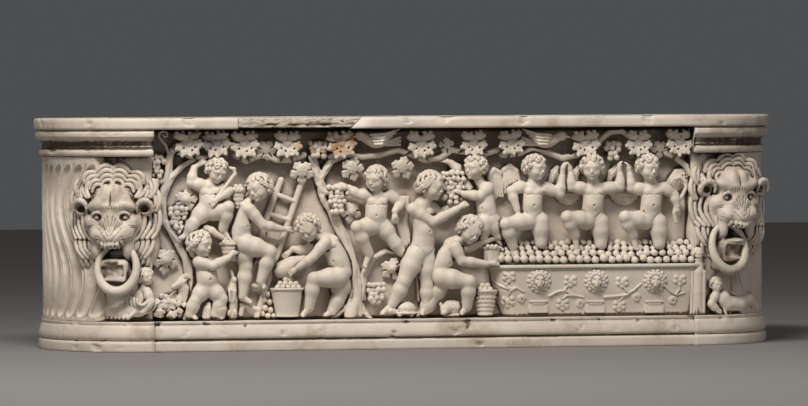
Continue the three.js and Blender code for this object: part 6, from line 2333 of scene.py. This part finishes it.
def add_recliner_right():
    clay = corner_clay([(704, 318, 0.0), (758, 268, 0.5)])
    clay.ball((722, 299, 0.4), [9, 7, 9], 0, turned(0, 0, -35))
    legs = ((726, 304, 0.3), (738, 304, 0.05), (747, 299, -0.3), (753, 304, -0.7))
    clay.rope(legs, [8.5, 8, 6, 4.5], 2)
    limb(clay, ((716, 294, 0.55), (711, 304, 0.66), (719, 312, 0.6)), (4.2, 3.7, 3.2), 1.05)
    for k in range(6):
        clay.stick((722 + 3 * k, 296 + k, 0.5 - 0.1 * k), (726 + 4.5 * k, 318, 0.5 - 0.2 * k), 1.9, 2.1, 0.5)
    head(clay, at((716, 285, 0.5)), px(7.4), (15, 0, 6), "waves", 5)
    clay.finish("reclining_figure_right", "recliner_right", above=RIM_FOOT, behind=None)


add_jar()
add_hare()
add_tortoise()
add_sleeper()
add_goat()
add_post_figure()
add_cloak()
add_bird("bird_left", 1, 378, 141)
add_bird("bird_right", -1, 544, 141)
add_recliner_left()
add_recliner_right()

mortar_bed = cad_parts["rim_join_mortar"].data
mortar_bed.materials.clear()
mortar_bed.materials.append(MATERIALS["mortar"])
add_dirt_and_shade()

# Floor, light and camera
FLOOR_SIZE = 24
bpy.ops.mesh.primitive_plane_add(size=FLOOR_SIZE, location=(0, 0, 0))
floor = bpy.context.object
floor.name = "floor"
floor.data.materials.append(plain("floor_grey", (0.222, 0.217, 0.213), 0.95))


def soft_light(name, where, aim, size, power, tint):
    data = bpy.data.lights.new(name, "AREA")
    data.shape = "RECTANGLE"
    data.size, data.size_y = size
    data.energy = power
    data.color = tint
    lamp = bpy.data.objects.new(name, data)
    bpy.context.scene.collection.objects.link(lamp)
    lamp.location = where
    lamp.rotation_euler = (Vector(aim) - Vector(where)).to_track_quat("-Z", "Y").to_euler()


soft_light("key", (-1.1, -2.6, 3.4), (0, 0, 0.3), (2.0, 0.8), 157, (1.0, 0.95, 0.885))
soft_light("side", (-4.0, -1.6, 1.6), (-0.5, 0, 0.3), (1.4, 1.4), 13, (1.0, 0.97, 0.93))
soft_light("fill", (2.6, -4.2, 1.8), (0, 0, 0.3), (2.5, 2.5), 16, (0.95, 0.97, 1.0))


def add_world():
    """Dim light from the room, with a grey backdrop that only the camera sees."""
    world = bpy.data.worlds.new("room")
    world.use_nodes = True
    tree = world.node_tree
    room = tree.nodes["Background"]
    feed(tree, room.inputs[:2], ((0.30, 0.29, 0.28), 0.36))
    backdrop = node(tree, "ShaderNodeBackground")
    feed(tree, backdrop.inputs[:1], ((0.074, 0.077, 0.081),))
    choice = node(tree, "ShaderNodeMixShader")
    rays = node(tree, "ShaderNodeLightPath")
    feed(tree, choice.inputs[:3], (rays.outputs["Is Camera Ray"], room.outputs[0], backdrop.outputs[0]))
    feed(tree, [tree.nodes["World Output"].inputs["Surface"]], (choice.outputs[0],))
    bpy.context.scene.world = world


def add_camera():
    data = bpy.data.cameras.new("camera")
    data.sensor_width = 36
    data.lens = data.sensor_width / 2 / math.tan(SPREAD / 2)
    data.clip_end = 100
    camera = bpy.data.objects.new("camera", data)
    bpy.context.scene.collection.objects.link(camera)
    basis = np.stack([RIGHT, UP, -AHEAD], 1)
    camera.matrix_world = Matrix.Translation(EYE.tolist()) @ Matrix(basis.tolist()).to_4x4()
    bpy.context.scene.camera = camera


add_world()
add_camera()
bpy.context.scene.view_settings.view_transform = "Standard"
